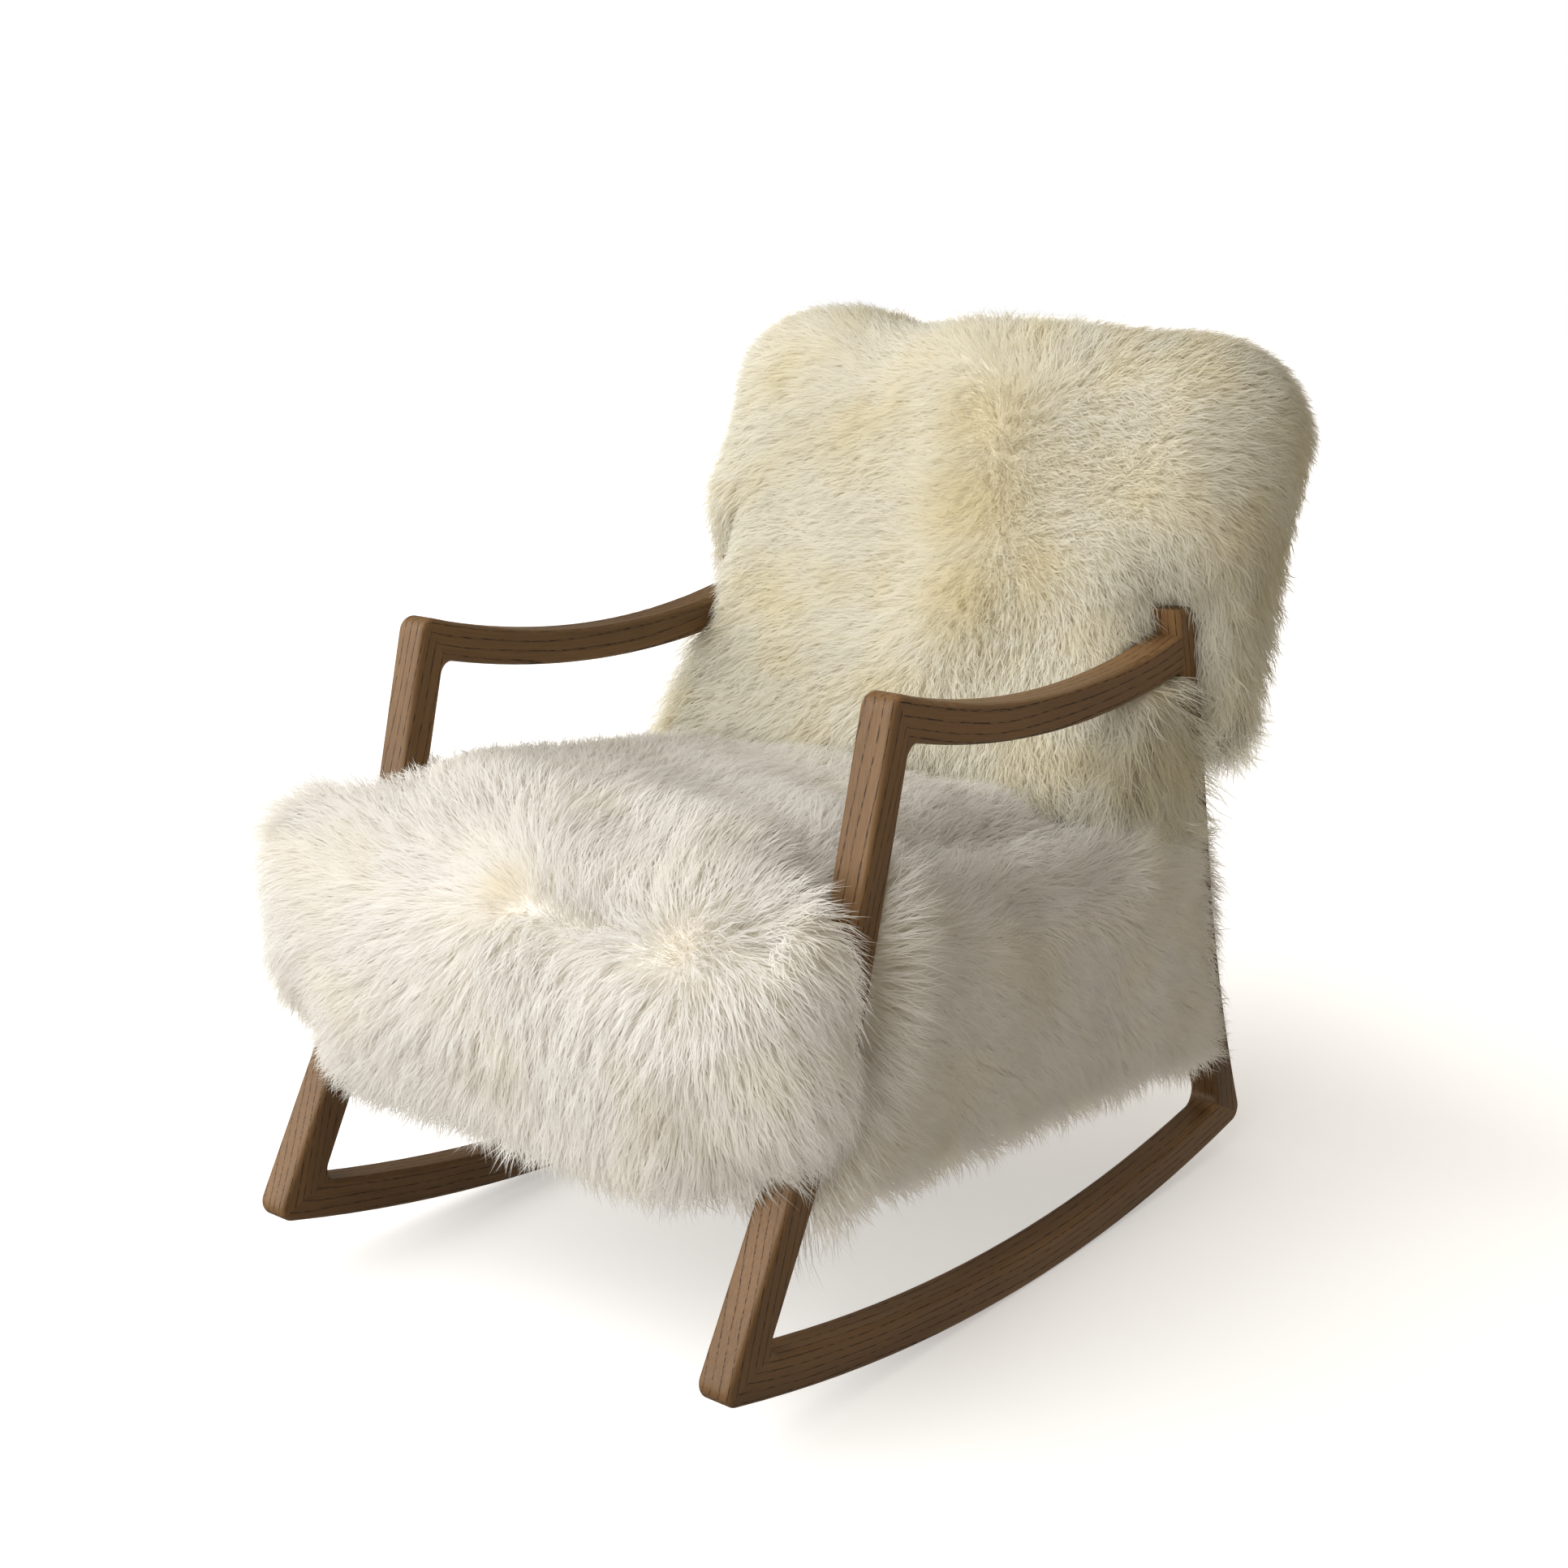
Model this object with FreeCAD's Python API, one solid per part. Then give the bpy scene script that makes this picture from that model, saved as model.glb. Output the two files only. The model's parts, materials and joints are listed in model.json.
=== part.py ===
import FreeCAD, Part
import math
import os

from FreeCAD import Vector

# Sheepskin rocking armchair: two curved ash side frames with an upholstered seat box and a reclined back
# hung between them. Millimetres. +X is the sitter's left, -Y is the front, +Z is up. The origin lies on
# the floor, midway between the rockers, where they touch it while the empty chair is at rest.

# Rest pose
rest_lean = 1.14              # degrees that the empty chair rolls back on its rockers

# Side frames
frame_width = 580.0           # outside to outside
stock_thickness = 35.0        # timber, across the chair
edge_round = 5.5              # long edges of the timber
outer_corner_round = 16.0
inner_corner_round = 14.0
knee_round = 60.0

rocker_radius = 2069.0        # underside
rocker_depth = 38.5

front_knee_y = -370.0         # front edge of the front leg, where it bends
front_knee_z = 337.0
lower_leg_lean = 26.6         # degrees from vertical
upper_leg_lean = 11.4
front_leg_depth = 35.0
front_leg_taper = 1.4         # degrees by which the lower leg widens towards the floor

rear_knee_y = 314.0           # rear edge of the rear leg, where it starts to flare
rear_knee_z = 337.0
rear_post_lean = 17.5
rear_leg_depth = 35.0
rear_foot_y = 445.0           # rear corner on the floor arc
rear_foot_width = 61.0        # along the rocker
rear_leg_bow = 6.5
post_top_z = 650.0

arm_low_y = -59.0             # lowest point of the sagging armrest
arm_low_z = 593.8             # top surface there
arm_depth = 35.0
arm_top_radius = 1000.0
arm_under_radius = 1175.0

# Dowels of the frame joints
dowel_diameter = 8.0
dowel_length = 28.0
dowel_spacing = 15.0          # across the chair
dowel_clearance = 0.1
dowel_end_gap = 0.6

# Seat box, in its own frame: y from its front edge, z from its bottom edge
seat_bottom_z = 215.0
seat_rake = 3.5               # degrees, lower at the rear
seat_box_height = 180.0
panel_thickness = 18.0
panel_end_margin = 12.0       # panel behind its rearmost bolt
rail_thickness = 20.0
rail_height = 70.0
cross_rail_y = 465.0
deck_thickness = 12.0         # board behind the cross rail
corner_block = 38.0
corner_block_clearance = 2.5  # above the washers of the bolts
corner_block_drop = 4.0       # below the top of the seat box
front_board_thickness = 12.0
front_board_drop = 8.0        # top of the front board below the top of the seat box
front_board_bottom = 62.0     # of its wide part, above the slant of the front legs
front_board_overhang = 2.0    # past the outside of the frame
front_board_clearance = 1.2   # ahead of the front legs
dust_cover_thickness = 1.5

# Webbing
strap_width = 50.0
strap_thickness = 2.0
seat_strap_count = 5
seat_cross_strap_count = 5
back_strap_count = 5

# Padding and wool of the seat
soft_gap = 0.3                # between soft pieces and what they lie on
wool_depth = 38.0             # hide and wool of the sheepskin
seat_foam_height = 56.0
seat_back_gap = 4.0           # between the seat cushion and the back cushion
bolster_depth = 34.0          # foam in front of the front board
bolster_rise = 30.0           # foam above the front board
bolster_fall = 18.0           # foam below the wide part of the front board
wing_wool_under = 10.0        # wool under the ends of the front roll
seat_round = 70.0             # outer rounding of the front roll
pad_round = 14.0
wing_reach = 44.0             # how far the front roll stands out past the frame
skirt_drop = 30.0             # wool that hangs below the seat box
flank_reach = 2.0             # how far the side wool stands out past the frame
flank_gap = 1.0               # between the side wool and the timber around it
flank_rise = 12.0             # seam of the side wool above the seat foam
flank_round = 18.0
rear_wool_depth = 24.0        # shorter wool behind the seat box
rear_wool_shelf = 80.0        # wool on the deck behind the back
rear_wool_round = 20.0

# Back, in its own frame: y from the front of the wool, z along the recline
back_foot_rise = 48.0         # front of its foot above the seat box
recline = 20.0                # degrees from vertical
back_length = 561.0           # over the wool
back_lower_edge = 16.0
back_core_width = 594.0       # foam above the posts
wing_clearance = 8.0          # where the back widens, above the posts
post_wool_gap = 3.0           # between the posts and the wool behind them
post_wool_tip = 16.0          # depth of that wool at its lower end
back_foam_depth = 27.4
rear_pad_depth = 24.0
stile_depth = 62.0
stile_thickness = 30.0
stile_cover = 7.5             # padding above the stiles
back_rail_height = 55.0
back_rail_depth = 22.0
back_rail_start = 70.0
back_rail_drop = 8.0          # top rail below the top of the stiles
back_round = 62.0
back_edge_round = 26.0

# Fasteners
bolt_diameter = 6.0
bolt_clearance = 0.3
bolt_head_diameter = 11.0
bolt_head_height = 3.5
bolt_head_round = 1.7
bolt_bite = 12.0              # length inside the insert
washer_diameter = 16.0
washer_thickness = 1.5
insert_diameter = 10.0
insert_length = 15.0
insert_clearance = 0.05
front_bolt_heights = (285.0, 335.0)
rear_bolt_heights = (250.0, 297.0)
post_bolt_heights = (552.0, 594.0)

# Values that follow from the sizes above
outer_x = frame_width / 2
inner_x = outer_x - stock_thickness
rocker_centre = Vector(0, 0, rocker_radius)
rocker_top_radius = rocker_radius - rocker_depth
arm_top_centre = Vector(0, arm_low_y, arm_low_z + arm_top_radius)
arm_under_centre = Vector(0, arm_low_y, arm_low_z - arm_depth + arm_under_radius)
panel_inner_x = inner_x - panel_thickness
stile_inner_x = inner_x - stile_thickness
post_lean_slope = math.tan(math.radians(rear_post_lean))
rear_leg_span = rear_leg_depth / math.cos(math.radians(rear_post_lean))
core_x = back_core_width / 2
back_wool_x = core_x + wool_depth
between_x = inner_x - soft_gap
board_x = outer_x + front_board_overhang
board_top = seat_box_height - front_board_drop
board_front = -front_board_thickness
seat_slope = math.tan(math.radians(seat_rake))
recline_slope = math.tan(math.radians(recline))
foam_bottom = seat_box_height + 2 * strap_thickness + soft_gap
foam_top = foam_bottom + seat_foam_height
flank_top = foam_top + flank_rise
stile_front = wool_depth + back_foam_depth + strap_thickness + 2 * soft_gap
stile_end = stile_front + stile_depth
stile_middle = (stile_front + stile_end) / 2
back_thickness = stile_end + rear_pad_depth + wool_depth + 2 * soft_gap
core_top = back_length - wool_depth - soft_gap
stile_top = core_top - stile_cover
back_rail_end = stile_top - back_rail_drop - back_rail_height
back_rail_positions = (back_rail_start, (back_rail_start + back_rail_end) / 2, back_rail_end)
big = 2 * rocker_radius


def point(y, z, x=0.0):
    """A point of the side profile."""
    return Vector(x, y, z)


def lean_direction(degrees):
    """Unit vector up a leg that leans to the rear by this angle from vertical."""
    angle = math.radians(degrees)
    return point(math.sin(angle), math.cos(angle))


def arc_height(centre, radius, y):
    """Height of the lower half of a circle at y."""
    return centre.z - math.sqrt(radius ** 2 - (y - centre.y) ** 2)


def line_meets_arc(start, direction, centre, radius):
    """Where a line crosses the lower half of a circle, nearest to the line's start."""
    offset = start - centre
    along = offset.dot(direction)
    reach = math.sqrt(along ** 2 - offset.dot(offset) + radius ** 2)
    crossings = [start + direction * (-along - reach), start + direction * (-along + reach)]
    low = [crossing for crossing in crossings if crossing.z < centre.z]
    return min(low, key=lambda crossing: (crossing - start).Length)


def straight(start, end):
    """Straight edge of a profile."""
    return Part.makeLine(start, end)


def low_arc(start, end, centre, radius):
    """Arc on the lower half of a circle."""
    middle_y = (start.y + end.y) / 2
    middle = point(middle_y, arc_height(centre, radius, middle_y))
    return Part.Arc(start, middle, end).toShape()


def bowed(start, end, bow):
    """Edge that bows to the front between its ends."""
    chord = end - start
    side = point(chord.z, -chord.y).normalize()
    return Part.Arc(start, (start + end) * 0.5 + side * bow, end).toShape()


def slab(corners, x_from, x_to):
    """Straight-sided profile, given as (y, z) corners, extruded across the chair."""
    points = [point(y, z, x_from) for y, z in corners]
    wire = Part.makePolygon(points + points[:1])
    return Part.Face(wire).extrude(Vector(x_to - x_from, 0, 0))


def block(x_from, x_to, y_from, y_to, z_from, z_to):
    """Rectangular block between two corners."""
    corner = Vector(x_from, y_from, z_from)
    return Part.makeBox(x_to - x_from, y_to - y_from, z_to - z_from, corner)


def mirrored(shape):
    """The same piece on the other side of the chair."""
    return shape.mirror(Vector(0, 0, 0), Vector(1, 0, 0))


def corner_edges(shape, corners):
    """Edges across the chair that pass through the given profile corners."""
    found = []
    for edge in shape.Edges:
        first, last = edge.Vertexes[0].Point, edge.Vertexes[-1].Point
        across = abs(first.y - last.y) + abs(first.z - last.z) < 0.01
        if across and any((point(first.y, first.z) - corner).Length < 0.5 for corner in corners):
            found.append(edge)
    return found


def rounded_box(x_from, x_to, y_from, y_to, z_from, z_to, radius):
    """Block with all its edges rounded."""
    shape = block(x_from, x_to, y_from, y_to, z_from, z_to)
    limit = 0.49 * min(x_to - x_from, y_to - y_from, z_to - z_from)
    return shape.makeFillet(min(radius, limit), shape.Edges)


# Corners of the side frame
lower_lean = lean_direction(lower_leg_lean)
upper_lean = lean_direction(upper_leg_lean)
taper_lean = lean_direction(lower_leg_lean - front_leg_taper)
knee_bisector = lean_direction((lower_leg_lean + upper_leg_lean) / 2)
post_lean = lean_direction(-rear_post_lean)

front_knee = point(front_knee_y, front_knee_z)
back_knee = front_knee + point(knee_bisector.z, -knee_bisector.y) * front_leg_depth
front_foot = line_meets_arc(front_knee, lower_lean, rocker_centre, rocker_radius)
front_foot_inside = line_meets_arc(back_knee, taper_lean, rocker_centre, rocker_top_radius)
front_top = line_meets_arc(front_knee, upper_lean, arm_top_centre, arm_top_radius)
front_top_inside = line_meets_arc(back_knee, upper_lean, arm_under_centre, arm_under_radius)

rear_knee = point(rear_knee_y, rear_knee_z)
rear_knee_inside = point(rear_knee_y - rear_leg_span, rear_knee_z)
rear_foot = point(rear_foot_y, arc_height(rocker_centre, rocker_radius, rear_foot_y))
rear_inside_y = rear_foot_y - rear_foot_width
rear_foot_inside = point(rear_inside_y, arc_height(rocker_centre, rocker_top_radius, rear_inside_y))
arm_end_under = line_meets_arc(rear_knee_inside, post_lean, arm_under_centre, arm_under_radius)
arm_end_top = line_meets_arc(rear_knee_inside, post_lean, arm_top_centre, arm_top_radius)
post_shift = (post_top_z - rear_knee_z) * post_lean_slope
post_top_front = point(rear_knee_y - rear_leg_span - post_shift, post_top_z)
post_top_rear = point(rear_knee_y - post_shift, post_top_z)


outer_corners = (front_foot, front_top, rear_foot)
inner_corners = (front_foot_inside, front_top_inside, arm_end_under, rear_foot_inside)
knees = (front_knee, back_knee, rear_knee, rear_knee_inside)


def inner_outline():
    """Inside outline of a side frame."""
    return Part.Wire([
        straight(front_foot_inside, back_knee),
        straight(back_knee, front_top_inside),
        low_arc(front_top_inside, arm_end_under, arm_under_centre, arm_under_radius),
        straight(arm_end_under, rear_knee_inside),
        bowed(rear_knee_inside, rear_foot_inside, rear_leg_bow),
        low_arc(rear_foot_inside, front_foot_inside, rocker_centre, rocker_top_radius),
    ])


def side_frame_ring():
    """Whole left side frame as one ring, before it is cut into its members."""
    outer = Part.Wire([
        straight(front_foot, front_knee),
        straight(front_knee, front_top),
        low_arc(front_top, arm_end_top, arm_top_centre, arm_top_radius),
        straight(arm_end_top, post_top_front),
        straight(post_top_front, post_top_rear),
        straight(post_top_rear, rear_knee),
        bowed(rear_knee, rear_foot, rear_leg_bow),
        low_arc(rear_foot, front_foot, rocker_centre, rocker_radius),
    ])
    face = Part.Face(outer).cut(Part.Face(inner_outline()))
    ring = face.extrude(Vector(stock_thickness, 0, 0))
    ring.translate(Vector(inner_x, 0, 0))
    ring = ring.Solids[0]
    for corners, radius in (
        (outer_corners, outer_corner_round),
        (inner_corners, inner_corner_round),
        (knees, knee_round),
    ):
        ring = ring.makeFillet(radius, corner_edges(ring, corners))
    sides = [
        edge
        for edge in ring.Edges
        if edge.BoundBox.XLength < 0.01
    ]
    return ring.makeFillet(edge_round, sides)


# Each joint line runs from an outside corner of the frame to an inside corner
frame_middle = point((front_knee_y + rear_knee_y) / 2, (front_knee_z + rear_knee_z) / 2)
joint_lines = {
    "front_foot": (front_foot, front_foot_inside),
    "front_top": (front_top, front_top_inside),
    "arm_end": (arm_end_top, arm_end_under),
    "rear_foot": (rear_foot, rear_foot_inside),
}
member_joints = {
    "front_leg": ("front_foot", "front_top"),
    "armrest": ("front_top", "arm_end"),
    "rear_leg": ("arm_end", "rear_foot"),
    "rocker": ("rear_foot", "front_foot"),
}
joint_reach = 3.0             # joint lines run on past the outside corner by this many of their lengths
joint_inset = 0.5             # and past the inside corner by this share


def member_wedge(first_joint, second_joint):
    """Sector of the side view that holds one member, bounded by its two joint lines."""
    corners = []
    for name, outward in ((first_joint, False), (second_joint, True)):
        outside, inside = joint_lines[name]
        run = outside - inside
        ends = [outside + run * joint_reach, inside - run * joint_inset]
        corners += ends[::-1] if outward else ends
    first_far, first_near, second_near, second_far = corners
    beyond = (first_far + second_far) * 0.5 - frame_middle
    outer_run = [second_far + beyond * joint_reach, first_far + beyond * joint_reach]
    loop = [first_far, first_near, frame_middle, second_near, second_far] + outer_run
    return slab([(corner.y, corner.z) for corner in loop], inner_x - edge_round, outer_x + edge_round)


def joint_dowels(name, radius, length):
    """The pair of dowels that crosses one joint of the left frame."""
    outside, inside = joint_lines[name]
    run = (outside - inside).normalize()
    across = point(-run.z, run.y)
    centre = (outside + inside) * 0.5
    middle_x = (inner_x + outer_x) / 2
    pins = []
    for offset in (-dowel_spacing / 2, dowel_spacing / 2):
        start = centre - across * (length / 2) + Vector(middle_x + offset, 0, 0)
        pins.append(Part.makeCylinder(radius, length, start, across))
    return pins


def profile_middle(front_edge, rear_edge, z):
    """Point midway between two straight edges of a leg at a height."""
    ys = []
    for start, direction in (front_edge, rear_edge):
        ys.append(start.y + (z - start.z) * direction.y / direction.z)
    return point(sum(ys) / 2, z)


def rear_leg_middle(z):
    """Middle of the flared part of the rear leg at a height."""
    share = (rear_knee_z - z) / (rear_knee_z - rear_foot.z)
    rear_y = rear_knee_y + share * (rear_foot_y - rear_knee_y)
    front_y = rear_knee_inside.y + share * (rear_foot_inside.y - rear_knee_inside.y)
    bow = 4 * rear_leg_bow * share * (1 - share)
    return point((rear_y + front_y) / 2 - bow, z)


def front_bolt_point(z):
    """Middle of the front leg at a bolt's height."""
    front, rear = (lower_lean, taper_lean) if z < front_knee_z else (upper_lean, upper_lean)
    return profile_middle((front_knee, front), (back_knee, rear), z)


def post_bolt_point(z):
    """Middle of the rear post at a bolt's height."""
    return profile_middle((rear_knee, post_lean), (rear_knee_inside, post_lean), z)


# Where the seat box and the back sit on the legs and posts
board_foot_z = seat_bottom_z + front_board_bottom * math.cos(math.radians(seat_rake))
board_foot_y = front_knee.y + (board_foot_z - front_knee.z) * lower_lean.y / lower_lean.z
board_foot_lead = front_board_bottom * math.sin(math.radians(seat_rake))
seat_front_y = board_foot_y - front_board_clearance - board_foot_lead
panel_end_y = max(rear_leg_middle(z).y for z in rear_bolt_heights)
seat_box_length = (panel_end_y - seat_front_y) / math.cos(math.radians(seat_rake)) + panel_end_margin
post_middle = post_bolt_point(sum(post_bolt_heights) / len(post_bolt_heights))
seat_top_z = seat_bottom_z + (seat_box_height + back_foot_rise) / math.cos(math.radians(seat_rake))
stile_reach = stile_middle / math.cos(math.radians(recline))
back_foot_run = recline_slope * (post_middle.z - seat_top_z - seat_slope * seat_front_y)
back_foot_y = (post_middle.y - stile_reach - back_foot_run) / (1 + recline_slope * seat_slope)
back_foot_z = seat_top_z - (back_foot_y - seat_front_y) * seat_slope


def place_seat(shape):
    """From the seat box's own frame to the chair."""
    placed = shape.copy()
    placed.rotate(Vector(0, 0, 0), Vector(1, 0, 0), -seat_rake)
    placed.translate(Vector(0, seat_front_y, seat_bottom_z))
    return placed


def place_back(shape):
    """From the back's own frame to the chair."""
    placed = shape.copy()
    placed.rotate(Vector(0, 0, 0), Vector(1, 0, 0), -recline)
    placed.translate(Vector(0, back_foot_y, back_foot_z))
    return placed


def in_seat_frame(spot):
    """A point of the side view in the seat box's own frame."""
    turned = FreeCAD.Rotation(Vector(1, 0, 0), seat_rake)
    return turned.multVec(spot - point(seat_front_y, seat_bottom_z))


def in_back_frame(spot):
    """A point of the side view in the back's own frame."""
    turned = FreeCAD.Rotation(Vector(1, 0, 0), recline)
    return turned.multVec(spot - point(back_foot_y, back_foot_z))


def from_back_frame(y, z):
    """A point of the back's own frame in the side view."""
    turned = FreeCAD.Rotation(Vector(1, 0, 0), -recline)
    return turned.multVec(point(y, z)) + point(back_foot_y, back_foot_z)


under_wings = (post_top_front, post_top_rear, arm_end_top)
back_wing_z = max(in_back_frame(corner).z for corner in under_wings) + wing_clearance
post_rear_top = in_back_frame(post_top_rear + point(post_wool_gap, 0))
post_rear_foot = in_back_frame(rear_knee + point(post_wool_gap, 0))
post_rear_slope = (post_rear_foot.z - post_rear_top.z) / (post_rear_foot.y - post_rear_top.y)
post_wool_end = back_thickness - post_wool_tip - post_rear_top.y
post_wool_bottom = post_rear_top.z + post_rear_slope * post_wool_end
seat_foam_end_y = in_seat_frame(from_back_frame(0, back_lower_edge)).y - seat_back_gap
seat_bolt_points = [front_bolt_point(z) for z in front_bolt_heights]
seat_bolt_points += [rear_leg_middle(z) for z in rear_bolt_heights]
post_bolt_points = [post_bolt_point(z) for z in post_bolt_heights]


def across_pin(radius, x_from, x_to, spot):
    """Cylinder across the chair through a point of the side view."""
    return Part.makeCylinder(radius, x_to - x_from, spot + Vector(x_from, 0, 0), Vector(1, 0, 0))


def bolt(head_face_x, spot):
    """Button-head bolt that is driven outwards from inside the chair."""
    washer_face_x = head_face_x - washer_thickness
    shank = across_pin(bolt_diameter / 2, washer_face_x, inner_x + bolt_bite, spot)
    head = across_pin(bolt_head_diameter / 2, washer_face_x - bolt_head_height, washer_face_x, spot)
    end_x = washer_face_x - bolt_head_height
    rim = [edge for edge in head.Edges if edge.BoundBox.XMax < end_x + bolt_head_round]
    head = head.makeFillet(bolt_head_round, rim)
    return shank.fuse(head).removeSplitter()


def washer(head_face_x, spot):
    """Flat washer under a bolt's head."""
    face_x = head_face_x - washer_thickness
    disc = across_pin(washer_diameter / 2, face_x, head_face_x, spot)
    return disc.cut(across_pin(bolt_diameter / 2 + bolt_clearance, face_x, head_face_x, spot))


def threaded_insert(spot):
    """Insert that is set into the inner face of a leg."""
    sleeve = across_pin(insert_diameter / 2, inner_x, inner_x + insert_length, spot)
    bore = across_pin(bolt_diameter / 2 + insert_clearance, inner_x, inner_x + insert_length, spot)
    return sleeve.cut(bore)


def drilled(shape, radius, x_from, x_to, spots):
    """Shape with holes across the chair."""
    for spot in spots:
        shape = shape.cut(across_pin(radius, x_from, x_to, spot))
    return shape


def frame_members():
    """The four members of the left side frame, bored for dowels and inserts."""
    ring = side_frame_ring()
    bores = []
    for name in joint_lines:
        bore_length = dowel_length + 2 * dowel_end_gap
        bores += joint_dowels(name, dowel_diameter / 2 + dowel_clearance, bore_length)
    seats = []
    for spot in seat_bolt_points + post_bolt_points:
        seat_end = inner_x + insert_length + insert_clearance
        seats.append(across_pin(insert_diameter / 2 + insert_clearance, inner_x, seat_end, spot))
    members = {}
    for member, joints in member_joints.items():
        shape = ring.common(member_wedge(*joints))
        for hole in bores + seats:
            shape = shape.cut(hole)
        members[member] = shape.Solids[0]
    return members


def seat_frame():
    """Wooden box, webbing and dust cover of the seat."""
    top = seat_box_height
    length = seat_box_length
    pieces = {}
    panel = place_seat(block(panel_inner_x, inner_x, 0, length, 0, top))
    panel = drilled(panel, bolt_diameter / 2 + bolt_clearance, panel_inner_x, inner_x, seat_bolt_points)
    pieces["seat_side_panel_left"] = panel
    pieces["seat_side_panel_right"] = mirrored(panel)
    rail_bottom = top - rail_height
    for name, y in (
        ("seat_front_rail", 0),
        ("seat_cross_rail", cross_rail_y),
        ("seat_rear_rail", length - rail_thickness),
    ):
        rail = block(-panel_inner_x, panel_inner_x, y, y + rail_thickness, rail_bottom, top)
        pieces[name] = place_seat(rail)
    blocks = []
    highest_bolt = max(in_seat_frame(spot).z for spot in seat_bolt_points)
    block_bottom = highest_bolt + washer_diameter / 2 + corner_block_clearance
    block_height = top - corner_block_drop - block_bottom
    for side in (1, -1):
        for y, turn in ((rail_thickness, 1), (length - rail_thickness, -1)):
            corner = Vector(side * panel_inner_x, y, block_bottom)
            on_rail = corner - Vector(side * corner_block, 0, 0)
            on_panel = corner + Vector(0, turn * corner_block, 0)
            outline = Part.Face(Part.makePolygon([corner, on_rail, on_panel, corner]))
            blocks.append(outline.extrude(Vector(0, 0, block_height)))
    pieces["seat_corner_blocks"] = place_seat(Part.makeCompound(blocks))
    deck_from = cross_rail_y + rail_thickness
    deck_to = length - rail_thickness
    deck = block(-panel_inner_x, panel_inner_x, deck_from, deck_to, top - deck_thickness, top)
    deck = deck.cut(Part.makeCompound(blocks))
    pieces["seat_rear_deck"] = place_seat(deck.removeSplitter())
    board = block(-board_x, board_x, board_front, 0, front_board_bottom, board_top)
    tongue = block(-between_x, between_x, board_front, 0, 0, board_top)
    pieces["seat_front_board"] = place_seat(board.fuse(tongue).removeSplitter())
    run = cross_rail_y + rail_thickness
    pitch = 2 * panel_inner_x / seat_strap_count
    straps = []
    for index in range(seat_strap_count):
        x = -panel_inner_x + (index + 0.5) * pitch
        straps.append(block(x - strap_width / 2, x + strap_width / 2, 0, run, top, top + strap_thickness))
    pieces["seat_webbing_lengthwise"] = place_seat(Part.makeCompound(straps))
    pitch = run / seat_cross_strap_count
    low = top + strap_thickness
    straps = []
    for index in range(seat_cross_strap_count):
        y = (index + 0.5) * pitch
        front, rear = y - strap_width / 2, y + strap_width / 2
        straps.append(block(-between_x, between_x, front, rear, low, low + strap_thickness))
    pieces["seat_webbing_crosswise"] = place_seat(Part.makeCompound(straps))
    cover = block(-inner_x, inner_x, 0, length, -dust_cover_thickness, 0)
    pieces["seat_dust_cover"] = place_seat(cover)
    return pieces


def seat_padding():
    """Foam and sheepskin of the seat."""
    pieces = {}
    foam = rounded_box(
        -between_x, between_x, board_front, seat_foam_end_y, foam_bottom, foam_top, pad_round
    )
    pieces["seat_foam"] = place_seat(foam)

    roll_back = board_front - soft_gap
    roll_front = roll_back - bolster_depth
    roll_top = board_top + bolster_rise
    roll_bottom = front_board_bottom - bolster_fall
    roll = rounded_box(-board_x, board_x, roll_front, roll_back, roll_bottom, roll_top, pad_round)
    apron = rounded_box(-between_x, between_x, roll_front, roll_back, 0, roll_top, pad_round)
    pieces["seat_front_bolster"] = place_seat(roll.fuse(apron).removeSplitter())

    wool_x = outer_x + wing_reach
    wool_front = roll_front - soft_gap - wool_depth
    wool_top = foam_top + soft_gap + wool_depth
    wing_bottom = roll_bottom - wing_wool_under
    wings = rounded_box(
        -wool_x, wool_x, wool_front, seat_foam_end_y, wing_bottom, wool_top, seat_round
    )
    wings = wings.common(block(-big, big, -big, roll_back, -big, big))
    middle = rounded_box(
        -between_x, between_x, wool_front, seat_foam_end_y, -skirt_drop, wool_top, seat_round
    )
    hide = wings.fuse(middle)
    hide = hide.cut(block(-big, big, roll_back, big, -big, foam_top + soft_gap))
    hide = hide.cut(block(
        -board_x - soft_gap, board_x + soft_gap, roll_front - soft_gap, big,
        roll_bottom - soft_gap, roll_top + soft_gap
    ))
    hide = hide.cut(block(
        -between_x - soft_gap, between_x + soft_gap, roll_front - soft_gap, big, -big, roll_top
    ))
    pieces["seat_sheepskin"] = place_seat(hide.removeSplitter())

    rear_start = seat_box_length + soft_gap
    shelf_bottom = seat_box_height + soft_gap
    rear = rounded_box(
        -between_x, between_x, rear_start - rear_wool_shelf, rear_start + rear_wool_depth,
        -skirt_drop, shelf_bottom + rear_wool_depth, rear_wool_round
    )
    rear = rear.cut(block(-big, big, -big, rear_start, -big, shelf_bottom))
    pieces["seat_rear_sheepskin"] = place_seat(rear)
    return pieces


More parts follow.
